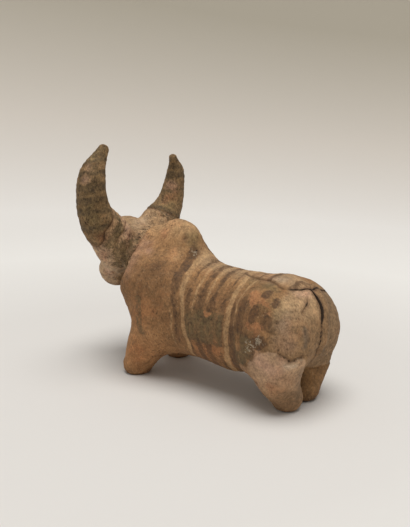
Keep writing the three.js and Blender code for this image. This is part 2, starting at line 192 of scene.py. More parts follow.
horns = {
    "horn_left": {
        "points": [(47.4, 13.6, 60.3), (47.4, 26.9, 76.9), (45.1, 29.4, 93.7), (43.9, 23.5, 104.5)],
        "radii": (10.6, 7.6, 5.9, 2.5), "around": 170, "along": 230,
        "bands": [(100.2, 1.1, 0.6), (94.9, 1.2, 0.6), (88.5, 1.7, 1), (82.9, 1.4, 0.9),
                  (77.4, 1.5, 0.7), (70.3, 1.6, 0.45)],
    },
    "horn_right": {
        "points": [(47.4, -14.4, 63.9), (47.4, -24.1, 74.4), (45.1, -26.8, 91), (43.9, -23.8, 98.1)],
        "radii": (9.8, 6.9, 4.3, 2.2), "around": 150, "along": 210,
        "bands": [(97.6, 1.4, 0.55), (94, 1.6, 0.5), (89.8, 1.9, 1), (82.2, 0.9, 0.7)],
    },
}
for horn in horns.values():
    horn["line"] = curvePoints(horn["points"], 18)
    horn["widths"] = curveWidths(horn["radii"], 18)


def chain(p, line, widths):
    # distance to a tapering chain of rolls
    nearest = np.full(len(p), 1e9)
    for i in range(len(line) - 1):
        nearest = np.minimum(nearest, roll(p, line[i], line[i + 1], widths[i], widths[i + 1]))
    return nearest


def mirrorLeft(p):
    return p * (1, 0, 1) + np.abs(p) * (0, 1, 0)


def barrelOf(p):
    rear = roll(p, barrel["rump"], barrel["waist"], *barrel["radii"][:2], barrel["flatness"][0])
    front = roll(p, barrel["waist"], barrel["chest"], *barrel["radii"][1:], barrel["flatness"][1])
    left = mirrorLeft(p)
    clay = melt(melt(rear, front, 6), lump(left, barrel["shoulder"], barrel["shoulderSize"]), 8)
    return melt(clay, lump(left, barrel["haunch"], barrel["haunchSize"]), 5)


def humpOf(p):
    return lump(p, humpClay["centre"], humpClay["size"])


def forelegOf(p):
    return roll(mirrorLeft(p), forelegClay["top"], forelegClay["foot"], *forelegClay["radii"])


def hindLegOf(p):
    return roll(mirrorLeft(p), hindLegClay["top"], hindLegClay["foot"], *hindLegClay["radii"])


def neckSeam(z):
    return neckClay["seamX"] + neckClay["lean"] * np.maximum(0, neckClay["seamHeight"] - z)


def neckOf(p):
    # a thick roll, thinner by the recess in front of the shoulders' edge
    past = p[:, 0] - neckSeam(p[:, 2])
    clay = roll(p, neckClay["throat"], neckClay["nape"], *neckClay["radii"], neckClay["flatness"])
    return clay + neckClay["recess"] * rise(-0.6, 1.2, past)


def headOf(p):
    clay = roll(p, headClay["skull"], headClay["muzzle"], *headClay["radii"])
    return melt(clay, lump(mirrorLeft(p), headClay["cheek"], headClay["cheekSize"]), 5)


def hornOf(p, name):
    return chain(p, horns[name]["line"], horns[name]["widths"])


def thighSeam(p):
    # leans back as it rises, and swings forward over the left side of the back
    lean = haunchClay["seamX"] + haunchClay["lean"] * (haunchClay["seamHeight"] - p[:, 2])
    swing = np.interp(p[:, 1], haunchClay["swingAt"], haunchClay["swing"])
    return lean + swing * rise(44, 48.5, p[:, 2])


def rumpCrack(z):
    above = haunchClay["crackHeight"] - z
    return haunchClay["crackSway"] * np.tanh(above / haunchClay["crackTurn"])


def rumpGap(z):
    # the crack between the halves of the rump gapes at the top and closes lower down
    return 0.2 + 1.15 * rise(38.4, 40.6, z) * rise(51, 47, z)


def shankTop(p, side):
    if side < 0:
        return np.full(len(p), float(haunchClay["rightTop"]))
    return np.interp(p[:, 0], haunchClay["mendAt"], haunchClay["mendTop"])


def plainFigure(p):
    skin = melt(barrelOf(p), humpOf(p), 9)
    skin = melt(skin, forelegOf(p), 9)
    skin = melt(skin, hindLegOf(p), 5)
    skin = melt(skin, neckOf(p), 8)
    skin = melt(skin, headOf(p), 4)
    high = (p[:, 0] > 26) & (p[:, 2] > 44)
    if high.any():
        part = skin[high]
        for name in horns:
            part = melt(part, hornOf(p[high], name), 3 + 4 * rise(63, 55, p[high, 2]))
        skin[high] = part
    return skin


tailClay = {
    "top": 49, "bottom": 25, "fromCrack": 4.2, "radius": 2.3, "sink": 1.2, "blend": 1.5,
    "around": 70, "along": 150,
}


def tailLine():
    # heights down the rump, each point moved back until it lies just under the skin
    z = np.linspace(tailClay["top"], tailClay["bottom"], 7)
    near, far = np.full(7, -90.0), np.full(7, -36.5)
    y = rumpCrack(z) - tailClay["fromCrack"]
    for _ in range(24):
        middle = (near + far) / 2
        out = plainFigure(np.stack([middle, y, z], 1)) > -tailClay["sink"]
        near, far = np.where(out, middle, near), np.where(out, far, middle)
    return np.stack([far, y, z], 1)


tailClay["line"] = tailLine()
tailClay["widths"] = tailClay["radius"] * (1 - np.linspace(0, 1, 7) / 4)

# Cracks, joints and edges that the photograph shows, as lines through points of the skin
cracks = {
    "back": [(-20, 2.6, 53.4), (-25, 4.4, 53.4), (-31.4, 6.3, 53.4), (-36.7, 7.6, 53.7),
             (-39.2, 8.4, 53.4), (-41.1, 9, 53), (-42.5, 9.7, 52.5), (-43.6, 9.4, 52.3)],
    "rump": [(-52, 3.7, 47.9), (-52.6, 5.4, 46.6), (-53.1, 6.8, 45.8), (-53.7, 8.6, 45),
             (-54, 10.5, 43.9)],
}
neckGroove = [(41.5, 12, 70.3), (37.3, 19.6, 65.7), (38.4, 21.9, 60.9), (41.2, 21, 53.3),
              (47, 15, 46.5), (55.8, 7.3, 43.9)]
# Pits: place on the skin, width and depth
pits = [(11.6, 5.7, 65.6, 0.9, 0.6), (12.6, 4.2, 66.6, 0.6, 0.4), (6.4, 3.6, 60.4, 0.8, 0.3),
        (-51.8, 20.2, 27.8, 0.7, 0.7), (-53.2, 18.7, 26.1, 1, 1), (-54.6, 17.2, 26.4, 0.9, 0.8),
        (-56.2, 14.8, 27.3, 0.7, 0.8), (-48.1, 20.8, 41.2, 0.7, 0.6), (-54, 10.5, 43.9, 0.7, 0.8),
        (-50.4, 21.4, 28.8, 0.5, 0.5)]


def hornSeam(p, name):
    # height over the joint where a horn sits on the head, positive on the horn
    if name == "horn_left":
        return 0.955 * p[:, 1] + 0.296 * p[:, 2] - 43.4 - 2.4 * hill(p[:, 2] - 68.7, 4.5)
    return -0.5 * p[:, 1] + 0.866 * p[:, 2] - 69.9


def relief(p):
    # what fingers, tools and time did to the smooth lumps, outward positive
    out = 0.26 * wobble(p, 16, 3) + 0.13 * wobble(p, 6, 4) + 0.07 * wobble(p, 2.4, 5)
    x, y, z = p.T
    front = x > 24
    if front.any():
        q = p[front]
        past = q[:, 0] - neckSeam(q[:, 2])
        high = rise(38, 46, q[:, 2])
        edge = 0.4 * hill(past + 1.6, 1.8) * rise(70, 64, q[:, 2])
        folds = 0.3 * hill(past - 3.4, 0.9) + 0.25 * hill(past - 6.6, 1.1)
        groove = lineGap(mirrorLeft(q), neckGroove)[0]
        more = high * (edge - folds) - 0.75 * hill(groove, 1.0)
        for name in horns:
            over = hornSeam(q, name)
            onHorn = rise(3, 0.5, hornOf(q, name))
            depth = 1 if name == "horn_left" else 0.35
            lip = 0.3 * rise(-0.4, 0.5, over) * hill(over, 6)
            more += depth * onHorn * (lip - 0.5 * hill(over, 0.4))
        out[front] += more
    rear = x < -8
    if rear.any():
        q = p[rear]
        gap, along = lineGap(q[:, :2], [point[:2] for point in cracks["back"]])
        more = -1.3 * hill(gap, 0.3) * rise(0, 0.3, along) * rise(48, 51, q[:, 2])
        gap, along = lineGap(q[:, 1:], [point[1:] for point in cracks["rump"]])
        more -= (0.15 + 0.45 * rise(0.55, 0.95, along)) * hill(gap, 0.24) * rise(-46, -50, q[:, 0])
        below = shankTop(q, 1) - q[:, 2]
        left = rise(-1, 1, q[:, 1]) * rise(-20, -26, q[:, 0])
        rearHalf = rise(-46, -50, q[:, 0]) * rise(11, 14, q[:, 1])
        more += left * (0.35 * rise(-0.2, 0.5, below) * hill(below, 9) * rise(8, 14, q[:, 1])
                        - (0.12 + 0.5 * rearHalf) * hill(below, 0.45))
        below = shankTop(q, -1) - q[:, 2]
        more -= 0.5 * hill(below, 0.6) * rise(1, -1, q[:, 1]) * rise(-24, -34, q[:, 0])
        out[rear] += more
    for px, py, pz, size, depth in pits:
        out -= depth * hill(lengths(p - (px, py, pz)), size)
    return out


def skinOf(p):
    skin = plainFigure(p)
    rear = (p[:, 0] < -40) & (p[:, 1] < 8)
    if rear.any():
        strip = chain(p[rear], tailClay["line"], tailClay["widths"])
        skin[rear] = melt(skin[rear], strip, tailClay["blend"])
    return meet(skin - relief(p), bottomOfFeet - p[:, 2], 0.9)


def seamWall(p, past, opened, gap):
    # a parting: past is the distance beyond it. Where it is open the piece ends short of it by
    # half the gap, and where it is closed the piece runs on a little way under its neighbour
    return past - lap * (1 - opened) + 0.5 * gap * opened


def sunk(past, opened=0.0):
    # how deep a piece dips under a neighbour's skin, by the distance past their border
    return 0.13 * np.maximum(past, 0) * (1 - opened)


def crackOpen(p):
    # the thigh seam gapes over the back of the rump, and is closed down the left flank
    return rise(10.5, 7, p[:, 1]) * rise(20, 34, p[:, 2])


def rough(p):
    return 0.22 * wobble(p, 5, 21) + 0.12 * wobble(p, 1.9, 22)


def torsoRegion(p):
    skin = skinOf(p)
    thigh = thighSeam(p) - p[:, 0] + rough(p)
    past = p[:, 0] - neckSeam(p[:, 2])
    opened = crackOpen(p)
    under = np.maximum.reduce([
        reach - humpOf(p), reach - forelegOf(p), past, thigh * (1 - opened),
        reach - headOf(p), np.zeros(len(p))])
    depth = np.minimum(sunk(under), 0.7)
    body = np.maximum(skin + depth, np.minimum(barrelOf(p), neckOf(p)) - reach)
    body = np.maximum(body, past - lap - 1)
    return meet(body, seamWall(p, thigh, opened, 0.3), 0.05 + 0.25 * opened)


def lumpRegion(distance):
    # a lump that keeps its own share of the skin and dips under its neighbours
    def region(p):
        past = distance(p) - reach
        return np.maximum(skinOf(p) + sunk(past), past - lap)
    return region


def forelegRegion(side):
    def region(p):
        past = forelegOf(p) - reach
        return np.maximum.reduce([skinOf(p) + sunk(past), past - lap, -side * p[:, 1] - 0.5])
    return region


def neckRegion(p):
    past = np.maximum(neckSeam(p[:, 2]) - p[:, 0], neckOf(p) - reach)
    inHead = np.minimum(sunk(reach - headOf(p)), 0.8)
    return np.maximum(skinOf(p) + np.maximum(sunk(past), inHead), past - lap)


def hornRegion(name):
    def region(p):
        past = hornOf(p, name) - reach
        inHead = np.minimum(sunk(reach - headOf(p)), 0.8)
        return np.maximum(skinOf(p) + np.maximum(sunk(past), inHead), past - lap * 0.6)
    return region


def haunchRegion(side, lower):
    # one side of the rump: lower is the leg below the shank joint, otherwise the part above it
    def region(p):
        skin = skinOf(p)
        thigh = p[:, 0] - thighSeam(p) - rough(p)
        opened = crackOpen(p)
        crack = -side * (p[:, 1] - rumpCrack(p[:, 2]) - rough(p))
        over = p[:, 2] - shankTop(p, side)
        past = over if lower else -over
        body = skin + np.minimum(np.maximum(sunk(thigh, opened), sunk(past)), 0.7)
        body = np.maximum(body, past - lap)
        body = meet(body, seamWall(p, crack, 1.0, rumpGap(p[:, 2])), 0.2)
        return meet(body, seamWall(p, thigh, opened, 0.3), 0.05 + 0.25 * opened)
    return region


def tailRegion(p):
    past = chain(p, tailClay["line"], tailClay["widths"]) - 0.7
    crack = p[:, 1] - rumpCrack(p[:, 2]) + 0.4
    return np.maximum.reduce([skinOf(p) + sunk(past), past - 1, crack])


def straight(start, end):
    start, end = np.array(start, float), np.array(end, float)

    def spine(share):
        way = (end - start) / np.linalg.norm(end - start)
        return start + share[:, None] * (end - start), np.tile(way, (len(share), 1))
    return spine


def bent(line, low, high):
    places = np.linspace(0, 1, len(line))

    def spine(share):
        share = low + (high - low) * share
        at = np.stack([np.interp(share, places, line[:, k]) for k in range(3)], 1)
        ahead = np.stack([np.interp(share + 0.04, places, line[:, k]) for k in range(3)], 1)
        behind = np.stack([np.interp(share - 0.04, places, line[:, k]) for k in range(3)], 1)
        way = ahead - behind
        return at, way / lengths(way)[:, None]
    return spine


def raysFrom(spine, around, along, straightness):
    # points along a spine, each with a ring of headings that tips over towards the spine's ends
    turn, tip = np.meshgrid(np.arange(around) / around * 2 * math.pi,
                            np.arange(1, along) / along * math.pi)
    tip = np.concatenate([[0], tip.ravel(), [math.pi]])
    turn = np.concatenate([[0], turn.ravel(), [0]])
    level = -np.cos(tip)
    start, tangent = spine((level + 1) / 2)
    aside = np.where(np.abs(tangent[:, :1]) > 0.9, [[0.0, 0, 1]], [[1.0, 0, 0]])
    across = np.cross(aside, tangent)
    across /= lengths(across)[:, None]
    other = np.cross(across, tangent)
    tilt = np.sign(level) * np.abs(level) ** straightness
    flat = np.sqrt(np.maximum(0, 1 - tilt ** 2))
    heading = (tangent * tilt[:, None] + across * (np.sin(turn) * flat)[:, None]
               - other * (np.cos(turn) * flat)[:, None])
    return start, heading


def blowUp(region, spine, around, along, straightness=1.0):
    # Two parameters, turn round the spine and tip along it. Each point starts on the spine and
    # moves out along its heading until it meets the edge of the region. A coarse net is marched
    # out first, and the fine net is then closed in by halving between its bounds.
    wide, tall = max(24, around // 6), max(18, along // 6)
    start, heading = raysFrom(spine, wide, tall, straightness)
    far = np.full(len(start), 0.6)
    going = np.ones(len(start), bool)
    while going.any():
        inside = region(start[going] + heading[going] * far[going, None]) < 0
        index = np.nonzero(going)[0]
        going[index[~inside]] = False
        far[index[inside]] += 0.8
        if far.max() > 150:
            break
    poles = far[[0, -1]]
    net = far[1:-1].reshape(tall - 1, wide)
    net = np.vstack([np.full((1, wide), poles[0]), net, np.full((1, wide), poles[1])])
    row = np.arange(1, along) / along * tall
    column = np.arange(around) / around * wide
    i, j = np.minimum(row.astype(int), tall - 1), column.astype(int)
    fy, fx = (row - i)[:, None], (column - j)[None, :]
    corners = [net[np.ix_(i + a, (j + b) % wide)] for a in (0, 1) for b in (0, 1)]
    guess = ((corners[0] * (1 - fx) + corners[1] * fx) * (1 - fy)
             + (corners[2] * (1 - fx) + corners[3] * fx) * fy)
    spread = np.maximum.reduce(corners) - np.minimum.reduce(corners)
    guess = np.concatenate([[poles[0]], guess.ravel(), [poles[1]]])
    spread = np.concatenate([[1.0], spread.ravel(), [1.0]])
    start, heading = raysFrom(spine, around, along, straightness)
    near, far = np.maximum(0.05, guess - 1.6 - spread), guess + 1.0 + spread
    for _ in range(4):  # bounds that don't hold the skin are moved
        out = region(start + heading * near[:, None]) > 0
        near[out] = np.maximum(0.02, near[out] - 2.5)
        if not out.any():
            break
    for _ in range(6):
        within = region(start + heading * far[:, None]) < 0
        far[within] += 2.5
        if not within.any():
            break
    for _ in range(12):
        middle = (near + far) / 2
        inside = region(start + heading * middle[:, None]) < 0
        near, far = np.where(inside, middle, near), np.where(inside, far, middle)
    return start + heading * ((near + far) / 2)[:, None], around, along


def netFaces(around, along):
    # rings of squares between two poles, turned to face outwards
    ring = np.arange(around)
    after = (ring + 1) % around
    low = 1 + np.arange(along - 2)[:, None] * around
    squares = np.stack([low + ring, low + after, low + around + after, low + around + ring], -1)
    last = 1 + (along - 2) * around
    top = np.full(around, last + around)
    fans = np.concatenate([np.stack([np.zeros(around, int), 1 + after, 1 + ring], 1),
                           np.stack([last + ring, last + after, top], 1)])
    return squares.reshape(-1, 4), fans


def addObject(name, data):
    added = bpy.data.objects.new(name, data)
    bpy.context.scene.collection.objects.link(added)
    return added


def makePiece(name, points, squares, fans, looks):
    mesh = bpy.data.meshes.new(name)
    where = (points - standing) / 1000
    corners = np.concatenate([squares.ravel(), fans.ravel()]).astype(np.int32)
    counts = np.concatenate([np.full(len(squares), 4), np.full(len(fans), 3)]).astype(np.int32)
    mesh.vertices.add(len(where))
    mesh.vertices.foreach_set("co", where.astype(np.float32).ravel())
    mesh.loops.add(len(corners))
    mesh.loops.foreach_set("vertex_index", corners)
    mesh.polygons.add(len(counts))
    starts = np.concatenate([[0], np.cumsum(counts)[:-1]]).astype(np.int32)
    mesh.polygons.foreach_set("loop_start", starts)
    mesh.polygons.foreach_set("use_smooth", np.ones(len(counts), bool))
    mesh.update(calc_edges=True)
    mesh.validate()
    for title, values in looks.items():
        if values.ndim == 1:
            store = mesh.attributes.new(title, "FLOAT", "POINT")
            store.data.foreach_set("value", values.astype(np.float32))
        else:
            store = mesh.attributes.new(title, "FLOAT_COLOR", "POINT")
            full = np.concatenate([values, np.ones((len(values), 1))], 1)
            store.data.foreach_set("color", full.astype(np.float32).ravel())
    return addObject(name, mesh)


def linear(red, green, blue):
    # screen colour 0 to 255 as linear light
    c = np.array([red, green, blue]) / 255
    return np.where(c <= 0.04045, c / 12.92, ((c + 0.055) / 1.055) ** 2.4)


# Clay colours of the parts of the bull, before paint, dirt and wear
clayTones = {
    "shoulder": linear(138, 102, 68), "withers": linear(158, 119, 80),
    "foreleg": linear(156, 116, 78), "barrel": linear(152, 114, 76), "back": linear(160, 130, 97),
    "wash": linear(124, 92, 62), "hump": linear(177, 141, 101), "haunch": linear(146, 115, 82),
    "rump": linear(172, 140, 104),
    "rightRump": linear(134, 108, 80), "poll": linear(160, 130, 97), "cheek": linear(174, 147, 118),
    "horn": linear(122, 98, 67), "hornBase": linear(112, 88, 60), "mend": linear(174, 142, 112),
    "mendFoot": linear(146, 115, 84), "rightLeg": linear(128, 96, 62),
    "umber": linear(96, 70, 46), "red": linear(146, 84, 60), "olive": linear(112, 98, 66),
    "grey": linear(96, 86, 72), "orange": linear(176, 116, 74), "pink": linear(184, 146, 126),
    "bright": linear(206, 190, 168),
}
# Stains, pale places and painted shade that fade out into the clay: two ends, size in mm, colour,
# strength
stains = [
    ((19, 23.2, 47), (16, 20.5, 53.5), 5.5, "umber", 0.5),
    ((16, 18.8, 56), (14, 17, 60), 3, "umber", 0.35),
    ((24, 23, 30), (20, 24, 36), 5, "orange", 0.35),
    ((25.1, 22.2, 14.6), (27, 22, 10), 6, "orange", 0.35),
    ((22.3, 7.2, 65.9), (24, 5.5, 67), 2.6, "red", 0.35),
    ((28, 12, 64), (26, 15, 60), 2.6, "pink", 0.5), ((33, 12, 61), (33, 18, 52), 5, "pink", 0.35),
    ((9, 1.8, 67.2), (8, 4, 64), 3.6, "olive", 0.6), ((13.2, 9, 62), (12, 11, 58), 3, "hump", 0.4),
    ((-36, 11, 53), (-40, 12.4, 52), 3, "olive", 0.6),
    ((-50.7, 17, 44.4), (-49, 19, 41), 3, "grey", 0.4),
    ((-56.2, 12.5, 38.6), (-57, 13.4, 32.2), 1.5, "grey", 0.7),
    ((-16, 19, 22.9), (-8, 19, 20), 5, "orange", 0.4),
    ((-49.9, 17.8, 9), (-46, 14, 6), 7, "umber", 0.35),
    ((-42, 23.4, 25), (-47, 22, 22), 3.5, "pink", 0.5),
    ((-46, 17, 47), (-49, 20, 40), 4, "olive", 0.4),
    ((-50, 19, 40), (-52, 19, 33), 3.5, "pink", 0.3),
    ((-49.6, 6, 50), (-50.5, 1, 49.6), 2.4, "pink", 0.45),
    ((-53, 12, 20), (-50, 9, 10), 3.4, "grey", 0.35),
    ((-47, 19, 14), (-50, 16, 18), 3, "orange", 0.35),
    ((-40, 5, 54.5), (-36, 5, 55), 3, "bright", 0.25),
    ((-30, 2, 55), (-24, 2, 55), 2.5, "orange", 0.3),
    ((-34, 4, 54), (-33, 9, 53), 2.4, "orange", 0.3),
    ((-25, 7, 53), (-31, 9, 52), 3, "olive", 0.35),
    ((-52, 20, 24), (-54, 17, 24), 1.6, "bright", 0.4),
    ((-44, 18, 15), (-46, 19, 20), 3, "umber", 0.2),
    ((45, 24.6, 57.5), (47, 22, 54.5), 2.6, "red", 0.3),
    ((56, 12, 48), (57, 9, 44), 2.4, "pink", 0.5),
    ((39.8, 13, 70), (38.2, 15.5, 66), 3.4, "pink", 0.4),
    ((39.2, 10, 66), (37.2, 15, 61.5), 3, "umber", 0.45),
    ((44, 24, 68), (42, 27, 66), 2.4, "red", 0.3), ((47, -5, 69.5), (42, 8, 70), 3, "bright", 0.2),
    ((44.3, -17.3, 77), (44.2, -19, 79), 2, "red", 0.25),
    # painted shade at the root of the right horn
    ((44.2, -13.6, 74.5), (41.4, -19.3, 75.1), 2, "olive", 0.5),
    ((44.4, -21.4, 85), (43, -22.5, 83.4), 2.8, "pink", 0.4),
    ((42, -22.9, 81.6), (43, -21, 79), 2, "orange", 0.2),
    ((43.2, 33, 98.6), (42.3, 34.6, 97), 1.6, "pink", 0.25),
    ((43, 34.6, 92.4), (44, 35.5, 92), 1.8, "pink", 0.4),
    ((43, 34, 78), (42, 30, 72), 4, "olive", 0.45),
    ((44, 27, 103), (43.6, 30, 100), 2.6, "olive", 0.5),
]


def barrelPlace(p):
    # place on the barrel: along it, and the angle up from its middle line in degrees
    return p[:, 0], np.degrees(np.arctan2(p[:, 2] - 33, np.abs(p[:, 1])))


nowhere = -3.0  # a cover in mm that leaves no paint at all


def strokesCover(x, v, strokes, sway, thinning):
    # half the stroke's width less the distance from its middle, in mm, and less when it is faint
    cover = np.full(len(x), nowhere)
    for angles, places, halves, strength in strokes:
        middle = np.interp(v, angles, places) + sway
        ends = np.minimum(v - angles[0], angles[-1] - v) * 0.38
        inside = np.minimum(np.interp(v, angles, halves) - np.abs(x - middle), ends)
        cover = np.maximum(cover, inside - thinning * (1 - strength))
    return cover


# Brush strokes round the barrel: angles up from its middle line, place along it and half width
# at each angle, and strength
stripes = {
    "pale": [
        ((-75, -37, -26, -13, 0, 14, 30, 43, 60, 74, 90, 100),
         (1, -0.7, -1.3, -0.8, -0.1, 0.8, 2.2, 2.7, 3.3, 3.5, 3.3, 3.3),
         (0.9, 1, 1, 1.1, 1.1, 1.1, 1.1, 1.2, 1.2, 1.2, 1.2, 1.2), 1.0),
        ((-85, -42, -19, 0, 14, 40, 60, 80, 100),
         (-19, -21, -23.5, -22.6, -23, -23.2, -23.1, -22.6, -22),
         (1.3, 1.5, 1.5, 1.4, 1.4, 1.3, 1.3, 1.2, 1), 1.0),
        ((12, 20, 40, 60, 88, 100), (-4.9, -4.7, -4.2, -4.1, -4, -4), (0.4, 0.6, 0.8, 0.9, 0.9, 0.9),
         0.75),
        ((26, 40, 60, 78, 100), (-11.4, -11, -11, -11.2, -11.4), (0.3, 0.7, 0.9, 0.9, 0.7), 0.65),
        ((48, 60, 80, 100), (-17.2, -17.4, -17.6, -17.6), (0.3, 0.45, 0.5, 0.4), 0.7),
        ((-40, -15, 0, 13), (6.6, 6.4, 6.4, 6.6), (0.4, 0.6, 0.7, 0.4), 0.7),
        ((8, 20, 39, 50, 59, 70), (-27.3, -27.3, -27.2, -28, -28.1, -29),
         (0.4, 0.5, 0.55, 0.65, 0.7, 0.4), 1.0),
        ((-60, -30, -6, 8), (-29.8, -30.6, -30.4, -30), (0.4, 0.5, 0.4, 0.2), 0.6),
        ((10, 20, 34, 40), (-33.6, -33.8, -33, -32.4), (0.2, 0.3, 0.35, 0.2), 0.5),
    ],
    "dark": [
        ((-35, -5, 5, 15, 25, 40, 65, 84), (3.9, 3.6, 4, 5, 5.3, 6.2, 6.8, 7.2),
         (0.9, 1.4, 1.2, 1.1, 1.4, 2, 2.9, 1.9), 0.85),
        ((-75, -40, 0, 45, 85, 100), (-1.8, -1.9, -1.8, -0.6, -0.8, -0.8),
         (1.3, 1.4, 1.4, 1.6, 1.8, 1.8), 0.65),
        ((-75, -40, 0, 35, 60, 80, 100), (-7, -7.5, -7.8, -7.8, -7.9, -7.9, -7.9),
         (2, 2.4, 2.6, 2.7, 2.7, 2.6, 2.6), 0.8),
        ((-75, -20, 30, 85, 100), (-13, -13.6, -14, -14.4, -14.6), (2, 2.5, 2.6, 2.4, 2.4), 0.6),
        ((-75, -20, 25, 80, 100), (-18, -19, -19.6, -19.8, -19.6), (1.2, 1.5, 1.5, 1.4, 1.4), 0.75),
        ((-80, -40, -20, 0, 20, 35, 46), (-25, -26.5, -27.6, -26.4, -25.8, -25.4, -25.2),
         (2.4, 3, 3, 2.4, 1.5, 1.3, 1), 1.0),
        ((2, 10, 30, 44), (-30.6, -31, -31, -30.6), (2, 2.6, 2.6, 1.4), 0.8),
        ((-58, -35, -10, 6), (-31, -33, -34.6, -34.6), (2, 3, 3.4, 2.6), 0.75),
        ((66, 72, 96, 110), (-35.2, -35.2, -35, -35), (1.4, 1.8, 1.8, 1.8), 0.65),
        ((66, 72, 96, 110), (-46.4, -46.2, -45.6, -45.2), (1, 1.5, 1.6, 1.6), 0.75),
        ((74, 80, 96, 110), (-29.6, -29.4, -29.2, -29), (1.6, 1.6, 1.6, 1.6), 0.5),
    ],
}
# Blots and bare places on the left flank: along, angle, half length and half height in mm
blots = [(-40.3, 47, 2.6, 2.6), (-46.3, 42, 1.8, 1.8), (-31.4, 31, 2.2, 3.2), (-37.6, 25, 2.4, 3.8),
         (-44.8, 21, 2.1, 3.8), (-47, 14, 1.2, 2.4), (-41.5, -2, 5, 3.4), (-36.4, -12, 3.4, 3.4),
         (-33, -28, 3, 3)]
bareSpots = [(-35.5, 42, 3.4, 4.2), (-43, 35, 3.2, 1.9), (-39.4, 38, 3, 2), (-40, 12, 4.4, 2.3),
             (-12.6, 14, 2.2, 2.2), (-17, -27, 1.3, 2.8), (-38, 25, 0.7, 1.6)]


def spotCover(x, v, spot):
    # egg-shaped spot: its size less the distance from its middle, in mm
    across = (x - spot[0]) / spot[2]
    up = (v - spot[1]) * 0.4 / spot[3]
    return (1 - np.hypot(across, up)) * min(spot[2], spot[3])


# Dark paint beside the roots of the horns: two ends and size
temples = [((40, 24, 63.8), (38.8, 19.6, 68.6), 3.4), ((40.4, 21, 74.4), (40.4, 19, 73.6), 1.9),
           ((41.4, 25, 61), (40.6, 23, 61.6), 1.8), ((43, -15, 71.4), (40, -21, 69.4), 2.4)]
# White crust: place and size
chalkSpots = [((-41.8, 23.9, 33.6), 1.7), ((-39.4, 24.1, 31), 1.3), ((-37, 23.9, 28.8), 1.3),
              ((-36.2, 23.6, 31.6), 1.1), ((6.4, 4.8, 59.7), 1.5), ((-55, 15.5, 26.4), 1),
              ((-48, 8, 10), 1.1)]
# How far forward the dark paint of the neck reaches on the head, by height
collarEdge = {"z": (35, 38, 41, 47.6, 53, 56.4, 60, 62, 64, 66),
              "x": (60, 56.5, 55, 47.7, 42.3, 41.2, 41, 43, 47, 60)}
# Places where the clay shows crowded dark specks: two ends and size
speckled = [((22, 20, 58), (19, 22, 50), 5), ((15, 19, 55), (20, 15, 62), 4),
            ((20, 24, 44), (24, 24, 38), 4), ((-50, 12, 47), (-54, 8, 44), 4),
            ((-54, 14, 26), (-50, 20, 24), 3)]


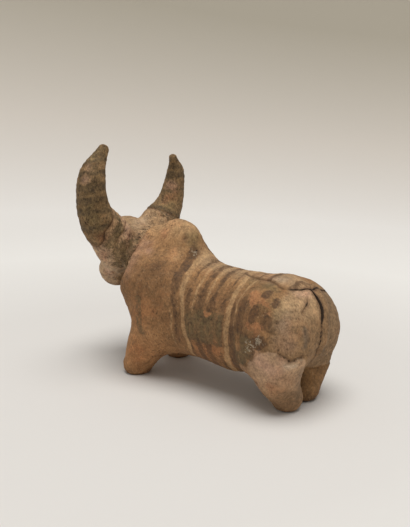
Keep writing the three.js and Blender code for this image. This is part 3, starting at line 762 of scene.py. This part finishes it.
def looksOf(p):
    # clay colour, and the covers of paint, pale slip, bare clay, chalk and dirt, and the painted
    # shade at the bottoms of the feet, in mm or 0 to 1
    x, v = barrelPlace(p)
    y, z = p[:, 1], p[:, 2]
    left = rise(-2, 2, y)
    past = x - neckSeam(z)
    sway = 0.35 * wobble(p, 14, 31) + 0.2 * wobble(p, 5, 32) + (1 - left) * 0.8 * wobble(p, 30, 33)
    patchy = wobble(p, 5, 34)

    horn, hornBand = np.zeros(len(p)), np.full(len(p), nowhere)
    hornGap, overSeam = np.full(len(p), 9.0), np.full(len(p), -9.0)
    high = (x > 24) & (z > 44)
    for name, values in horns.items():
        if not high.any():
            break
        q = p[high]
        over, away = hornSeam(q, name), hornOf(q, name)
        near = rise(2.5, 0.8, away) * rise(-0.3, 0.3, over)
        horn[high] = np.maximum(horn[high], near)
        closed = 0
        if name == "horn_right":
            closed = 0.35 + 0.5 * rise(-16, -19, q[:, 1]) * rise(-26, -20, q[:, 1])
        hornGap[high] = np.minimum(hornGap[high], np.abs(over) + closed + 6 * rise(0.8, 2.5, away))
        overSeam[high] = np.where(away < 2.5, over, overSeam[high])
        lift = q[:, 2] + 0.5 * wobble(q, 5, 41) + 0.1 * (q[:, 0] - 44)
        for height, half, strength in values["bands"]:
            cover = half - np.abs(lift - height) - 0.9 * (1 - strength) + 0.3 * wobble(q, 3.2, 42)
            hornBand[high] = np.maximum(hornBand[high], np.where(near > 0.5, cover, nowhere))

    # clay under everything
    tone = np.tile(clayTones["barrel"], (len(p), 1))

    def blend(name, mask):
        tone[:] = tone + mask[:, None] * (clayTones[name] - tone)

    blend("back", rise(58, 84, v) * rise(10, 2, x))
    blend("shoulder", rise(4, 10, x))
    blend("foreleg", rise(8, 14, x) * rise(34, 24, z))
    blend("withers", rise(6, 12, x) * rise(52, 60, z))
    blend("hump", rise(4, 10, x) * rise(62, 70, z) * rise(36, 30, x))
    behind = -x + thighSeam(p)
    pastPaint = -46.5 + 1.1 * np.maximum(0, 33 - z) - x
    blend("haunch", rise(-2, 1.5, pastPaint))
    blend("rump", rise(-2, 1.5, pastPaint) * rise(37, 46, z) * left)
    blend("rightRump", rise(-2, 1.5, behind) * (1 - rise(-6, -1, y - rumpCrack(z))))
    blend("poll", rise(0, 2, past) * rise(38, 46, z))
    edge = np.interp(z, collarEdge["z"], collarEdge["x"]) + 0.8 * wobble(p, 6, 63)
    blend("cheek", rise(-1, 1.5, x - edge) * rise(66, 62, z) * rise(30, 34, x))
    blend("horn", horn)
    blend("hornBase", horn * rise(78, 66, z))
    shankLine = shankTop(p, 1) + 0.5 * wobble(p, 6, 51)
    inner = 1.1 * np.maximum(0, 14.5 - y) * rise(-44, -50, x)
    mended = rise(-0.3, 0.3, shankLine - inner - z) * left * rise(-28, -31, x)
    blend("mend", mended)
    blend("mendFoot", mended * rise(18, 8, z))
    rightLeg = rise(-0.6, 0.6, haunchClay["rightTop"] - z) * (1 - left) * rise(-28, -31, x)
    blend("rightLeg", rightLeg)
    blend("wash", 0.7 * rise(9, 6, x) * rise(-38, -34, x) * rise(100, 70, v) * rise(64, 34, v))
    blend("umber", 0.45 * rise(-24, -27, x) * rise(-45, -42, x) * rise(44, 34, v) * rise(-8, 5, v))
    for start, end, size, name, strength in stains:
        gap = lineGap(p, (start, end))[0] * (1 + 0.3 * patchy)
        blend(name, strength * hill(gap, size))
    streaks = rise(6, 12, x) * rise(1, -1, past) * wobble(p * (1, 1, 0.3), 2.4, 55)
    tone *= (1 + 0.1 * wobble(p, 11, 52) + (0.07 + 0.07 * horn) * wobble(p, 4, 53)
             + (0.05 + 0.05 * rise(52, 60, z)) * streaks)[:, None]

    # painted stripes
    onBarrel = rise(9, 7.5, x) * rise(-0.8, 0.8, -pastPaint) * (1 - mended)
    onPlate = rise(64, 70, v) * rise(-50.5, -49.5, x)
    onBarrel = np.maximum(onBarrel, onPlate * rise(9, 7.5, x))
    dark = strokesCover(x, v, stripes["dark"], sway, 1.3)
    faded = rise(26, 44, v) * (1 - 0.5 * rise(50, 64, v)) * rise(3, 0, x) * rise(-30, -27, x)
    dark += 0.35 * patchy - 1.1 * faded
    pale = strokesCover(x, v, stripes["pale"], sway, 0.6)
    green = rise(26, 8, v + 6 * patchy) * rise(-26, -18, v) * rise(-22, -20, x) * rise(0, -2, x)
    dark = np.maximum(dark, np.where(green > 0.4, green, nowhere))
    green = np.maximum(green, rise(6, 0, v) * rise(-27, -30, x) * rise(-40, -36, x))
    bare = np.full(len(p), nowhere)
    for spot in bareSpots:
        cover = spotCover(x + 3 * sway, v + 5 * patchy, spot)
        bare = np.maximum(bare, np.where(left > 0.5, cover, cover - 1.0))
    dark = np.where(bare > 0, np.minimum(dark, -bare), dark)
    for spot in blots:
        cover = spotCover(x + 2 * sway, v + 3 * patchy, spot)
        dark = np.maximum(dark, np.where(left > 0.5, cover, cover - 1.6))
        blend("umber", 0.55 * left * rise(0, 0.8, cover))
    dark, pale, bare = (np.minimum(cover, onBarrel * 6 + nowhere) for cover in (dark, pale, bare))

    # dark collar of the neck, the paint at the roots of the horns, painted shade along the root of
    # the right horn, and a smudge on the shoulder
    collar = np.minimum(past + 0.2, 0.8 * (edge - x)) + 0.4 * wobble(p, 7, 61)
    collar = np.minimum(collar, 0.6 * (63.5 - z))
    collar = np.where((x > 30) & (z > 36) & (horn < 0.5), np.clip(collar, nowhere, 0.7), nowhere)
    # painted light: the clay under the neck's collar is made 22% lighter, to offset the shade the
    # neck sits in between hump and head
    tone *= (1 + 0.22 * rise(-0.5, 0.4, collar))[:, None]
    temple = np.full(len(p), nowhere)
    for start, end, size in temples:
        temple = np.maximum(temple, size - lineGap(p, (start, end))[0] + 1.2 * wobble(p, 5, 62))
    temple = np.clip(0.5 * temple, nowhere, 1.0)
    collar = np.where(horn < 0.5, np.maximum(collar, temple), nowhere)
    # painted shade: a dark band on the right horn just above its joint with the head
    rightHornRootShade = 0.5 - 0.5 * np.abs(overSeam - 1.6)
    rightHornRootShade = np.where((y < 0) & (horn > 0.5), rightHornRootShade, nowhere)
    smudge = 1.4 - np.hypot((x - 22 - 0.5 * sway) / 1.3, np.maximum(0, np.abs(z - 32) - 8))
    smudge = np.where(y > 0, smudge, nowhere)
    dark = np.maximum.reduce([dark, collar, hornBand, rightHornRootShade, np.clip(smudge, nowhere, 0.3)])
    for start, end, size in speckled:
        dark = np.maximum(dark, -0.42 - 0.12 * lineGap(p, (start, end))[0] * 4 / size + 0.1 * patchy)
    greening = np.maximum.reduce([green, rise(-1, 0.5, collar), horn * 0.7, rise(-1, 0, smudge)])

    chalk = -2.0 * np.ones(len(p))
    for place, size in chalkSpots:
        chalk = np.maximum(chalk, 0.6 * (size - lengths(p - place)) - 0.5)

    # distance to the nearest crack or joint, for the dirt in it
    cleft = np.full(len(p), 5.0)
    backGap = lineGap(p[:, :2], [point[:2] for point in cracks["back"]])[0] + 3 * rise(51, 48, z)
    smallGap = lineGap(p[:, 1:], [point[1:] for point in cracks["rump"]])[0] + 3 * rise(-50, -46, x)
    cleft = np.minimum.reduce([cleft, backGap + 0.1, smallGap + 0.42 + 0.4 * patchy])
    cleft = np.minimum(cleft, hornGap + 0.1)
    pittedJoint = np.abs(shankTop(p, 1) - z) + 0.25 + 0.4 * patchy
    pittedJoint += 9 * (1 - left + rise(-50, -48, x) + rise(14, 12, y))
    cleft = np.minimum(cleft, pittedJoint)
    for px, py, pz, size, depth in pits:
        cleft = np.minimum(cleft, lengths(p - (px, py, pz)) - 0.5 * size + 0.2)
    gaping = np.minimum(np.maximum(0, np.abs(behind) - 0.15) + 3 * (1 - crackOpen(p)), 5)
    cleft = np.minimum(cleft, gaping)
    dotted = rise(40, 38, z) * (0.25 + 0.5 * wobble(p, 1.5, 72))
    parting = np.maximum(0, np.abs(y - rumpCrack(z)) - 0.5 * rumpGap(z) - 0.1)
    cleft = np.minimum(cleft, parting + dotted + 5 * rise(0.2, -0.4, behind))
    # foot: painted shade over the bottom 2 mm of the feet, where they meet the floor
    looks = {"tone": np.clip(tone, 0, 1), "green": np.clip(greening, 0, 1), "cleft": cleft,
             "foot": rise(2.2, 0.2, z)}
    for title, cover in (("paint", dark), ("slip", pale), ("bare", bare), ("chalk", chalk)):
        looks[title] = np.clip(cover, nowhere, 3)
    return looks


print("making the materials")


def newGroup(name, inputs, outputs):
    group = bpy.data.node_groups.new(name, "ShaderNodeTree")
    face = group.interface
    for title, kind, value in inputs:
        socket = face.new_socket(name=title, in_out="INPUT", socket_type="NodeSocket" + kind)
        if value is not None:
            socket.default_value = value
    for title, kind in outputs:
        face.new_socket(name=title, in_out="OUTPUT", socket_type="NodeSocket" + kind)
    return group, group.nodes.new("NodeGroupInput").outputs, group.nodes.new("NodeGroupOutput").inputs


def calc(tree, how, a, b=None, c=None, clamp=False):
    node = tree.nodes.new("ShaderNodeMath")
    node.operation = how
    node.use_clamp = clamp
    for socket, value in zip(node.inputs, (a, b, c)):
        if value is None:
            continue
        if isinstance(value, (int, float)):
            socket.default_value = value
        else:
            tree.links.new(value, socket)
    return node.outputs[0]


def times(tree, a, b, clamp=False):
    return calc(tree, "MULTIPLY", a, b, clamp=clamp)


def plus(tree, a, b):
    return calc(tree, "ADD", a, b)


def less(tree, a, b):
    return calc(tree, "SUBTRACT", a, b)


def noise(tree, place, scale, detail=3.0, roughness=0.55, stretch=None):
    node = tree.nodes.new("ShaderNodeTexNoise")
    node.inputs["Scale"].default_value = scale
    node.inputs["Detail"].default_value = detail
    node.inputs["Roughness"].default_value = roughness
    if stretch:
        turn = tree.nodes.new("ShaderNodeMapping")
        turn.inputs["Scale"].default_value = stretch
        tree.links.new(place, turn.inputs["Vector"])
        place = turn.outputs[0]
    tree.links.new(place, node.inputs["Vector"])
    return node.outputs["Fac"]


def between(tree, value, low, high, outLow=0.0, outHigh=1.0):
    node = tree.nodes.new("ShaderNodeMapRange")
    node.interpolation_type = "SMOOTHSTEP"
    tree.links.new(value, node.inputs["Value"])
    titles = ("From Min", "From Max", "To Min", "To Max")
    for title, number in zip(titles, (low, high, outLow, outHigh)):
        if isinstance(number, (int, float)):
            node.inputs[title].default_value = number
        else:
            tree.links.new(number, node.inputs[title])
    return node.outputs["Result"]


def mixed(tree, share, a, b, how="MIX"):
    node = tree.nodes.new("ShaderNodeMix")
    node.data_type = "RGBA"
    node.blend_type = how
    for socket, value in ((node.inputs[0], share), (node.inputs[6], a), (node.inputs[7], b)):
        if isinstance(value, (int, float)):
            socket.default_value = value
        elif isinstance(value, (tuple, list, np.ndarray)):
            socket.default_value = (*[float(v) for v in value][:3], 1)
        else:
            tree.links.new(value, socket)
    return node.outputs[2]


clayGrain = {
    # scale, detail, roughness and depth of the mottling, from broad to fine
    "waves": [(130, 3, 0.6, 2.6), (400, 3, 0.65, 4.2), (760, 4, 0.7, 5.2)],
    "blush": 0.32, "ashen": 0.4, "speck": linear(80, 56, 38), "grit": linear(206, 178, 142),
    "gritShare": 0.14,
}


def tinted(tree, a, b):
    return mixed(tree, 1.0, a, b, "MULTIPLY")


def finished(group, give, **results):
    for title, value in results.items():
        group.links.new(value, give[title])
    return group


def clayGroup():
    # clay: broad mottling, fine specks, grit that shows pale, and a rough dull face
    group, take, give = newGroup(
        "firedClay",
        [("Place", "Vector", None), ("Clay", "Color", (0.5, 0.35, 0.2, 1)), ("Mottle", "Float", 0.2),
         ("Specks", "Float", 0.5)],
        [("Colour", "Color"), ("Grain", "Color"), ("Height", "Float"), ("Roughness", "Float")])
    place = take["Place"]
    waves = [(noise(group, place, *wave[:3]), wave[3]) for wave in clayGrain["waves"]]
    waves.append((noise(group, place, 1500, 3, 0.7, (1, 1, 0.6)), 5.0))
    shade = 1.0
    for value, depth in waves:
        lighter = times(group, less(group, value, 0.5), depth)
        shade = calc(group, "MULTIPLY_ADD", lighter, take["Mottle"], shade)
    grey = group.nodes.new("ShaderNodeCombineColor")
    for socket in grey.inputs:
        group.links.new(shade, socket)
    colour = take["Clay"]
    blush = between(group, noise(group, place, 170, 3, 0.6, (1, 1, 0.7)), 0.5, 0.72, 0.0,
                    clayGrain["blush"])
    colour = mixed(group, blush, colour, tinted(group, colour, (1.08, 0.84, 0.8)))
    ashen = between(group, noise(group, place, 210, 4, 0.65, (0.8, 1, 1.1)), 0.52, 0.72, 0.0,
                    clayGrain["ashen"])
    colour = mixed(group, ashen, colour, tinted(group, colour, (0.84, 0.9, 0.93)))
    colour = tinted(group, colour, grey.outputs[0])
    specks = between(group, noise(group, place, 800, 4, 0.65, (1.3, 1.3, 0.7)), 0.56, 0.64)
    crowding = between(group, noise(group, place, 75, 3, 0.6), 0.38, 0.6, 0.35, 1.2)
    specks = times(group, specks, times(group, take["Specks"], crowding), clamp=True)
    colour = mixed(group, specks, colour, clayGrain["speck"])
    grit = between(group, noise(group, place, 1050, 2, 0.5), 0.58, 0.7)
    colour = mixed(group, times(group, grit, clayGrain["gritShare"]), colour, clayGrain["grit"])
    pores = between(group, noise(group, place, 900, 3, 0.6), 0.25, 0.42)
    lumps = noise(group, place, 420, 5, 0.7)
    height = plus(group, times(group, lumps, 0.6), times(group, pores, 0.4))
    roughness = between(group, waves[2][0], 0.3, 0.7, 0.78, 0.95)
    return finished(group, give, Colour=colour, Grain=grey.outputs[0], Height=height,
                    Roughness=roughness)


def paintGroup():
    # worn paint: a cover in mm, with ragged borders, rubbed through in streaks and crumbs
    group, take, give = newGroup(
        "wornPaint",
        [("Place", "Vector", None), ("Cover", "Float", 0.0), ("Ragged", "Float", 1.0),
         ("Crumbs", "Float", 1.0), ("Wear", "Float", 0.4), ("Seed", "Float", 0.0)],
        [("Mask", "Float"), ("Depth", "Float")])
    move = group.nodes.new("ShaderNodeVectorMath")
    move.operation = "ADD"
    group.links.new(take["Place"], move.inputs[0])
    group.links.new(take["Seed"], move.inputs[1])
    place = move.outputs[0]
    border = less(group, noise(group, place, 420, 4, 0.7), 0.5)
    crumbs = less(group, noise(group, place, 1300, 3, 0.6), 0.5)
    edge = plus(group, take["Cover"], times(group, border, times(group, take["Ragged"], 2.4)))
    edge = plus(group, edge, times(group, crumbs, take["Crumbs"]))
    mask = between(group, edge, -0.35, 0.45)
    streaks = noise(group, place, 260, 5, 0.7, (1.7, 1, 0.55))
    rubbed = between(group, plus(group, streaks, times(group, crumbs, 0.5)), 0.46, 0.62)
    firm = between(group, take["Cover"], 0.6, 2.2, 1.0, 0.45)
    rubbed = times(group, rubbed, times(group, take["Wear"], firm))
    mask = times(group, mask, less(group, 1.0, rubbed), clamp=True)
    depth = between(group, noise(group, place, 700, 4, 0.7), 0.4, 0.64)
    return finished(group, give, Mask=mask, Depth=depth)


def dirtGroup():
    # dirt in cracks: dark at the line itself and fading out over the given width in mm
    group, take, give = newGroup(
        "crackDirt",
        [("Place", "Vector", None), ("Gap", "Float", 5.0), ("Width", "Float", 0.3)],
        [("Line", "Float"), ("Stain", "Float")])
    ragged = less(group, noise(group, take["Place"], 900, 3, 0.6), 0.5)
    gap = plus(group, take["Gap"], times(group, ragged, 0.5))
    wide = times(group, take["Width"], 2.0)
    narrow = times(group, take["Width"], 0.4)
    line = between(group, gap, narrow, wide, 1.0, 0.0)
    stain = between(group, gap, 0.2, 2.0, 0.55, 0.0)
    return finished(group, give, Line=line, Stain=stain)


groups = {"clay": clayGroup(), "paint": paintGroup(), "dirt": dirtGroup()}

finishes = {
    "painted_body": {"mottle": 0.24, "specks": 0.6, "paint": 0.83, "wear": 0.6, "bump": 0.6},
    "plain_clay": {"mottle": 0.24, "specks": 0.65, "paint": 0.75, "wear": 0.6, "bump": 0.6},
    # the neck's paint is laid thin: partly its own worn paint, partly painted light that keeps the
    # neck light in the shade between hump and head
    "painted_neck": {"mottle": 0.5, "specks": 0.6, "paint": 0.36, "wear": 0.7, "bump": 0.8},
    "face_clay": {"mottle": 0.28, "specks": 0.4, "paint": 0.6, "wear": 0.6, "bump": 0.6},
    "dark_paint": {"mottle": 0.2, "specks": 0.3, "paint": 0.9, "wear": 0.3, "bump": 0.3},
    "banded_horn": {"mottle": 0.42, "specks": 0.6, "paint": 0.85, "wear": 0.35, "bump": 0.6},
    "worn_haunch": {"mottle": 0.26, "specks": 0.5, "paint": 0.75, "wear": 0.6, "bump": 0.75},
    "mended_leg": {"mottle": 0.24, "specks": 0.28, "paint": 0.7, "wear": 0.5, "bump": 0.6},
}
paintTones = {
    "brown": linear(96, 69, 45), "green": linear(102, 87, 59), "slip": linear(200, 164, 120),
    "thick": linear(60, 46, 36), "bare": linear(184, 124, 84), "chalk": linear(222, 210, 184),
    # foot: colour of the painted shade at the bottoms of the feet
    "dirt": linear(30, 20, 14), "stain": linear(92, 66, 46), "foot": linear(84, 60, 42),
}
# How each coat breaks up at its border, and how strongly it covers
coats = {
    "bare": {"Ragged": 2.4, "Crumbs": 4.0, "Wear": 0.5, "Seed": 0.7, "strength": 0.4},
    "slip": {"Ragged": 0.45, "Crumbs": 1.2, "Wear": 0.5, "Seed": 0.3, "strength": 0.44},
    "chalk": {"Ragged": 1.3, "Crumbs": 8.0, "Wear": 0.5, "Seed": 0.5, "strength": 0.48},
}
# width and darkness of the dirt in cracks, and how strong the painted shade at the bottoms of the
# feet is
crackDirtAndFootShade = {"width": 0.22, "line": 0.92, "foot": 0.6}


def nodeOf(tree, kind):
    return next(n for n in tree.nodes if n.type == kind)


def newMaterial(name):
    material = bpy.data.materials.new(name)
    material.use_nodes = True
    tree = material.node_tree
    place = tree.nodes.new("ShaderNodeTexCoord").outputs["Object"]
    return material, tree, nodeOf(tree, "BSDF_PRINCIPLED"), place


def figurineMaterial(name, values):
    material, tree, shader, place = newMaterial(name)

    def attribute(title):
        node = tree.nodes.new("ShaderNodeAttribute")
        node.attribute_name = title
        return node.outputs["Color" if title == "tone" else "Fac"]

    def placed(kind, **sockets):
        node = tree.nodes.new("ShaderNodeGroup")
        node.node_tree = groups[kind]
        tree.links.new(place, node.inputs["Place"])
        for title, value in sockets.items():
            if isinstance(value, (int, float)):
                node.inputs[title].default_value = value
            else:
                tree.links.new(value, node.inputs[title])
        return node.outputs

    def coat(title):
        values = {key: value for key, value in coats[title].items() if key != "strength"}
        return placed("paint", Cover=attribute(title), **values)["Mask"]

    def covered(colour, mask, strength, over):
        return mixed(tree, times(tree, mask, strength), colour, over)

    clay = placed("clay", Clay=attribute("tone"), Mottle=values["mottle"], Specks=values["specks"])
    bareTone = tinted(tree, paintTones["bare"], clay["Grain"])
    colour = covered(clay["Colour"], coat("bare"), coats["bare"]["strength"], bareTone)
    slip = coat("slip")
    strokes = placed("paint", Cover=attribute("paint"), Ragged=1.0, Crumbs=1.8, Wear=values["wear"])
    hue = mixed(tree, attribute("green"), paintTones["brown"], paintTones["green"])
    hue = tinted(tree, covered(hue, strokes["Depth"], 0.6, paintTones["thick"]), clay["Grain"])
    worn = times(tree, strokes["Mask"], less(tree, 1.0, slip))
    colour = covered(colour, worn, values["paint"], hue)
    slipTone = tinted(tree, paintTones["slip"], clay["Grain"])
    colour = covered(colour, slip, coats["slip"]["strength"], slipTone)
    chalk = coat("chalk")
    colour = covered(colour, chalk, coats["chalk"]["strength"], paintTones["chalk"])
    dirt = placed("dirt", Gap=attribute("cleft"), Width=crackDirtAndFootShade["width"])
    colour = mixed(tree, dirt["Stain"], colour, paintTones["stain"])
    colour = covered(colour, dirt["Line"], crackDirtAndFootShade["line"], paintTones["dirt"])
    # painted shade over the bottoms of the feet
    colour = covered(colour, attribute("foot"), crackDirtAndFootShade["foot"], paintTones["foot"])
    tree.links.new(colour, shader.inputs["Base Color"])
    roughness = less(tree, clay["Roughness"], times(tree, worn, 0.12))
    tree.links.new(roughness, shader.inputs["Roughness"])
    shader.inputs["Specular IOR Level"].default_value = 0.3
    height = less(tree, clay["Height"], times(tree, dirt["Line"], 1.2))
    height = plus(tree, height, times(tree, chalk, 0.5))
    bump = tree.nodes.new("ShaderNodeBump")
    bump.inputs["Strength"].default_value = values["bump"]
    bump.inputs["Distance"].default_value = 0.0005
    tree.links.new(height, bump.inputs["Height"])
    tree.links.new(bump.outputs[0], shader.inputs["Normal"])
    return material


materials = {name: figurineMaterial(name, values) for name, values in finishes.items()}


def dress(node, slot, region, spine, clay, straightness=1.0):
    points, around, along = blowUp(region, spine, clay["around"], clay["along"], straightness)
    squares, fans = netFaces(around, along)
    piece = makePiece(node + "_clay", points, squares, fans, looksOf(points))
    piece.data.materials.append(materials[slot])
    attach(piece, "root")
    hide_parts(node)
    print("made", node + "_clay")


def onSide(place, side):
    return np.array(place, float) * (1, side, 1)


dress("torso", "painted_body", torsoRegion, straight(*barrel["spine"]), barrel)
dress("hump", "plain_clay", lumpRegion(humpOf), straight(*humpClay["spine"]), humpClay)
for side, name in ((1, "foreleg_left"), (-1, "foreleg_right")):
    spine = straight(onSide(forelegClay["top"], side), onSide(forelegClay["foot"], side))
    dress(name, "plain_clay", forelegRegion(side), spine, forelegClay)
dress("neck", "painted_neck", neckRegion, straight(*neckClay["spine"]), neckClay)
spine = straight(headClay["skull"], headClay["muzzle"])
dress("head", "face_clay", lumpRegion(headOf), spine, headClay)
for name, values in horns.items():
    spine = bent(values["line"], 0.02, 0.985)
    dress(name, "banded_horn", hornRegion(name), spine, values, 3)
for side, word in ((1, "left"), (-1, "right")):
    spine = straight(*(onSide(place, side) for place in haunchClay["spine"]))
    dress("haunch_" + word, "worn_haunch", haunchRegion(side, False), spine, haunchClay)
    top = onSide(hindLegClay["top"], side)
    top[2] = hindLegClay["spineTop"][word]
    spine = straight(top, onSide(hindLegClay["foot"], side))
    slot = "mended_leg" if side > 0 else "plain_clay"
    dress("hind_leg_" + word, slot, haunchRegion(side, True), spine, hindLegClay)
dress("tail", "plain_clay", tailRegion, bent(tailClay["line"], 0.0, 1.0), tailClay, 4)

eyes = {"place": (61.95, 5.57, 58), "radius": 2.1, "paint": 2.5, "around": 56, "along": 40}
for side, name in ((1, "eye_left"), (-1, "eye_right")):
    # pellet: a ball on the side of the head, painted dark
    centre = onSide(eyes["place"], side)
    spine = straight(centre, centre + (0, 0, 0.01))
    start, heading = raysFrom(spine, eyes["around"], eyes["along"], 1.0)
    points = start + heading * eyes["radius"] * (1 + 0.03 * wobble(heading, 1.2, 71)[:, None])
    squares, fans = netFaces(eyes["around"], eyes["along"])
    looks = looksOf(points)
    looks["paint"] = np.full(len(points), eyes["paint"])
    piece = makePiece(name + "_pellet", points, squares, fans, looks)
    piece.data.materials.append(materials["dark_paint"])
    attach(piece, "root")
    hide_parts(name)
print("pieces are made")

stage = {"flat": 0.42, "curve": 0.55, "bend": 1.25, "around": 96}


def sweep():
    # paper sweep: a flat disc that curves up all round, along most of a quarter circle
    rings = np.concatenate([np.linspace(0, stage["flat"], 12), np.full(30, stage["flat"])])
    bend = np.concatenate([np.zeros(12), np.linspace(0, stage["bend"], 31)[1:]])
    around = stage["around"]
    radius = rings + stage["curve"] * np.sin(bend)
    height = stage["curve"] * (1 - np.cos(bend))
    turn = np.arange(around) / around * 2 * math.pi
    points = np.stack([radius[:, None] * np.cos(turn), radius[:, None] * np.sin(turn),
                       np.repeat(height[:, None], around, 1)], -1)
    points = np.vstack([[0, 0, 0], points[1:].reshape(-1, 3)])
    ring, after = np.arange(around), (np.arange(around) + 1) % around
    low = 1 + np.arange(len(radius) - 2)[:, None] * around
    squares = np.stack([low + ring, low + around + ring, low + around + after, low + after], -1)
    squares = squares.reshape(-1, 4)
    fans = np.stack([np.zeros(around, int), 1 + ring, 1 + after], 1)
    mesh = bpy.data.meshes.new("paperSweep")
    mesh.from_pydata(points.tolist(), [], squares.tolist() + fans.tolist())
    for face in mesh.polygons:
        face.use_smooth = True
    return addObject("paperSweep", mesh)


paper = sweep()
paperWithPaintedFalloff, tree, shader, place = newMaterial("paper")


def vectorStep(operation, first, second=None):
    node = tree.nodes.new("ShaderNodeVectorMath")
    node.operation = operation
    tree.links.new(first, node.inputs[0])
    if second is not None:
        node.inputs[1].default_value = second
    return node.outputs["Value" if operation in ("LENGTH", "DOT_PRODUCT") else "Vector"]


# the way out along the paper, counted a little longer on one side and up the sweep, so the painted
# shade drifts across it
outward = vectorStep("LENGTH", vectorStep("MULTIPLY", place, (1, 1, 0)))
outward = plus(tree, outward, vectorStep("DOT_PRODUCT", place, (-0.13, -0.11, 0.4)))
ramp = tree.nodes.new("ShaderNodeValToRGB")
tree.links.new(outward, ramp.inputs[0])
# painted light falling off over the paper: brightest a little way out, darker near the middle, and
# much darker far out and up the sweep
paperFalloffTones = [(0.0, linear(223, 220, 216)), (0.12, linear(223, 220, 216)), (0.27, linear(238, 236, 232)),
         (0.48, linear(236, 233, 229)), (0.75, linear(211, 204, 195)), (1.0, linear(173, 166, 152))]
ramp.color_ramp.elements[0].color = (*paperFalloffTones[0][1], 1)
ramp.color_ramp.elements[1].position = paperFalloffTones[-1][0]
ramp.color_ramp.elements[1].color = (*paperFalloffTones[-1][1], 1)
for position, tone in paperFalloffTones[1:-1]:
    ramp.color_ramp.elements.new(position).color = (*tone, 1)
tree.links.new(ramp.outputs[0], shader.inputs["Base Color"])
shader.inputs["Roughness"].default_value = 0.95
shader.inputs["Specular IOR Level"].default_value = 0.1
paper.data.materials.append(paperWithPaintedFalloff)

light = {"sky": 0.33, "lamp": 20.5, "lampSize": 1.25, "lampPlace": (-0.19, 0.14, 1.6)}
world = bpy.data.worlds.new("studio")
bpy.context.scene.world = world
world.use_nodes = True
air = world.node_tree
sky = nodeOf(air, "BACKGROUND")
sky.inputs["Color"].default_value = (1.0, 0.995, 0.985, 1)
sky.inputs["Strength"].default_value = light["sky"]
# past the paper's top edge the camera sees a painted grey: painted shade standing for the dim top of
# the backdrop
backdropShadeSeen = air.nodes.new("ShaderNodeBackground")
backdropShadeSeen.inputs["Color"].default_value = (*linear(166, 158, 144), 1)
cameraRay = air.nodes.new("ShaderNodeLightPath").outputs["Is Camera Ray"]
either = air.nodes.new("ShaderNodeMixShader")
for socket, source in zip(either.inputs, (cameraRay, sky.outputs[0], backdropShadeSeen.outputs[0])):
    air.links.new(source, socket)
air.links.new(either.outputs[0], nodeOf(air, "OUTPUT_WORLD").inputs["Surface"])
lamp = addObject("softLamp", bpy.data.lights.new("softLamp", "AREA"))
lamp.data.shape = "DISK"
lamp.data.size = light["lampSize"]
lamp.data.energy = light["lamp"]
lamp.data.color = (1.0, 0.99, 0.97)
lamp.location = light["lampPlace"]
lamp.rotation_euler = (-Vector(light["lampPlace"])).to_track_quat("-Z", "Y").to_euler()

view = {
    "place": (-0.20006, 0.2447764, 0.1253786), "yaw": -0.892977, "pitch": 0.2212714, "lens": 48.997,
}
camera = addObject("photoCamera", bpy.data.cameras.new("photoCamera"))
camera.data.lens = view["lens"]
camera.data.clip_start = 0.01
camera.location = view["place"]
forward = Vector((math.cos(view["yaw"]) * math.cos(view["pitch"]),
                  math.sin(view["yaw"]) * math.cos(view["pitch"]), -math.sin(view["pitch"])))
camera.rotation_euler = forward.to_track_quat("-Z", "Y").to_euler()
bpy.context.scene.camera = camera
bpy.context.scene.view_settings.view_transform = "Standard"
print("stage, light and camera are set")

bpy.context.view_layer.update()
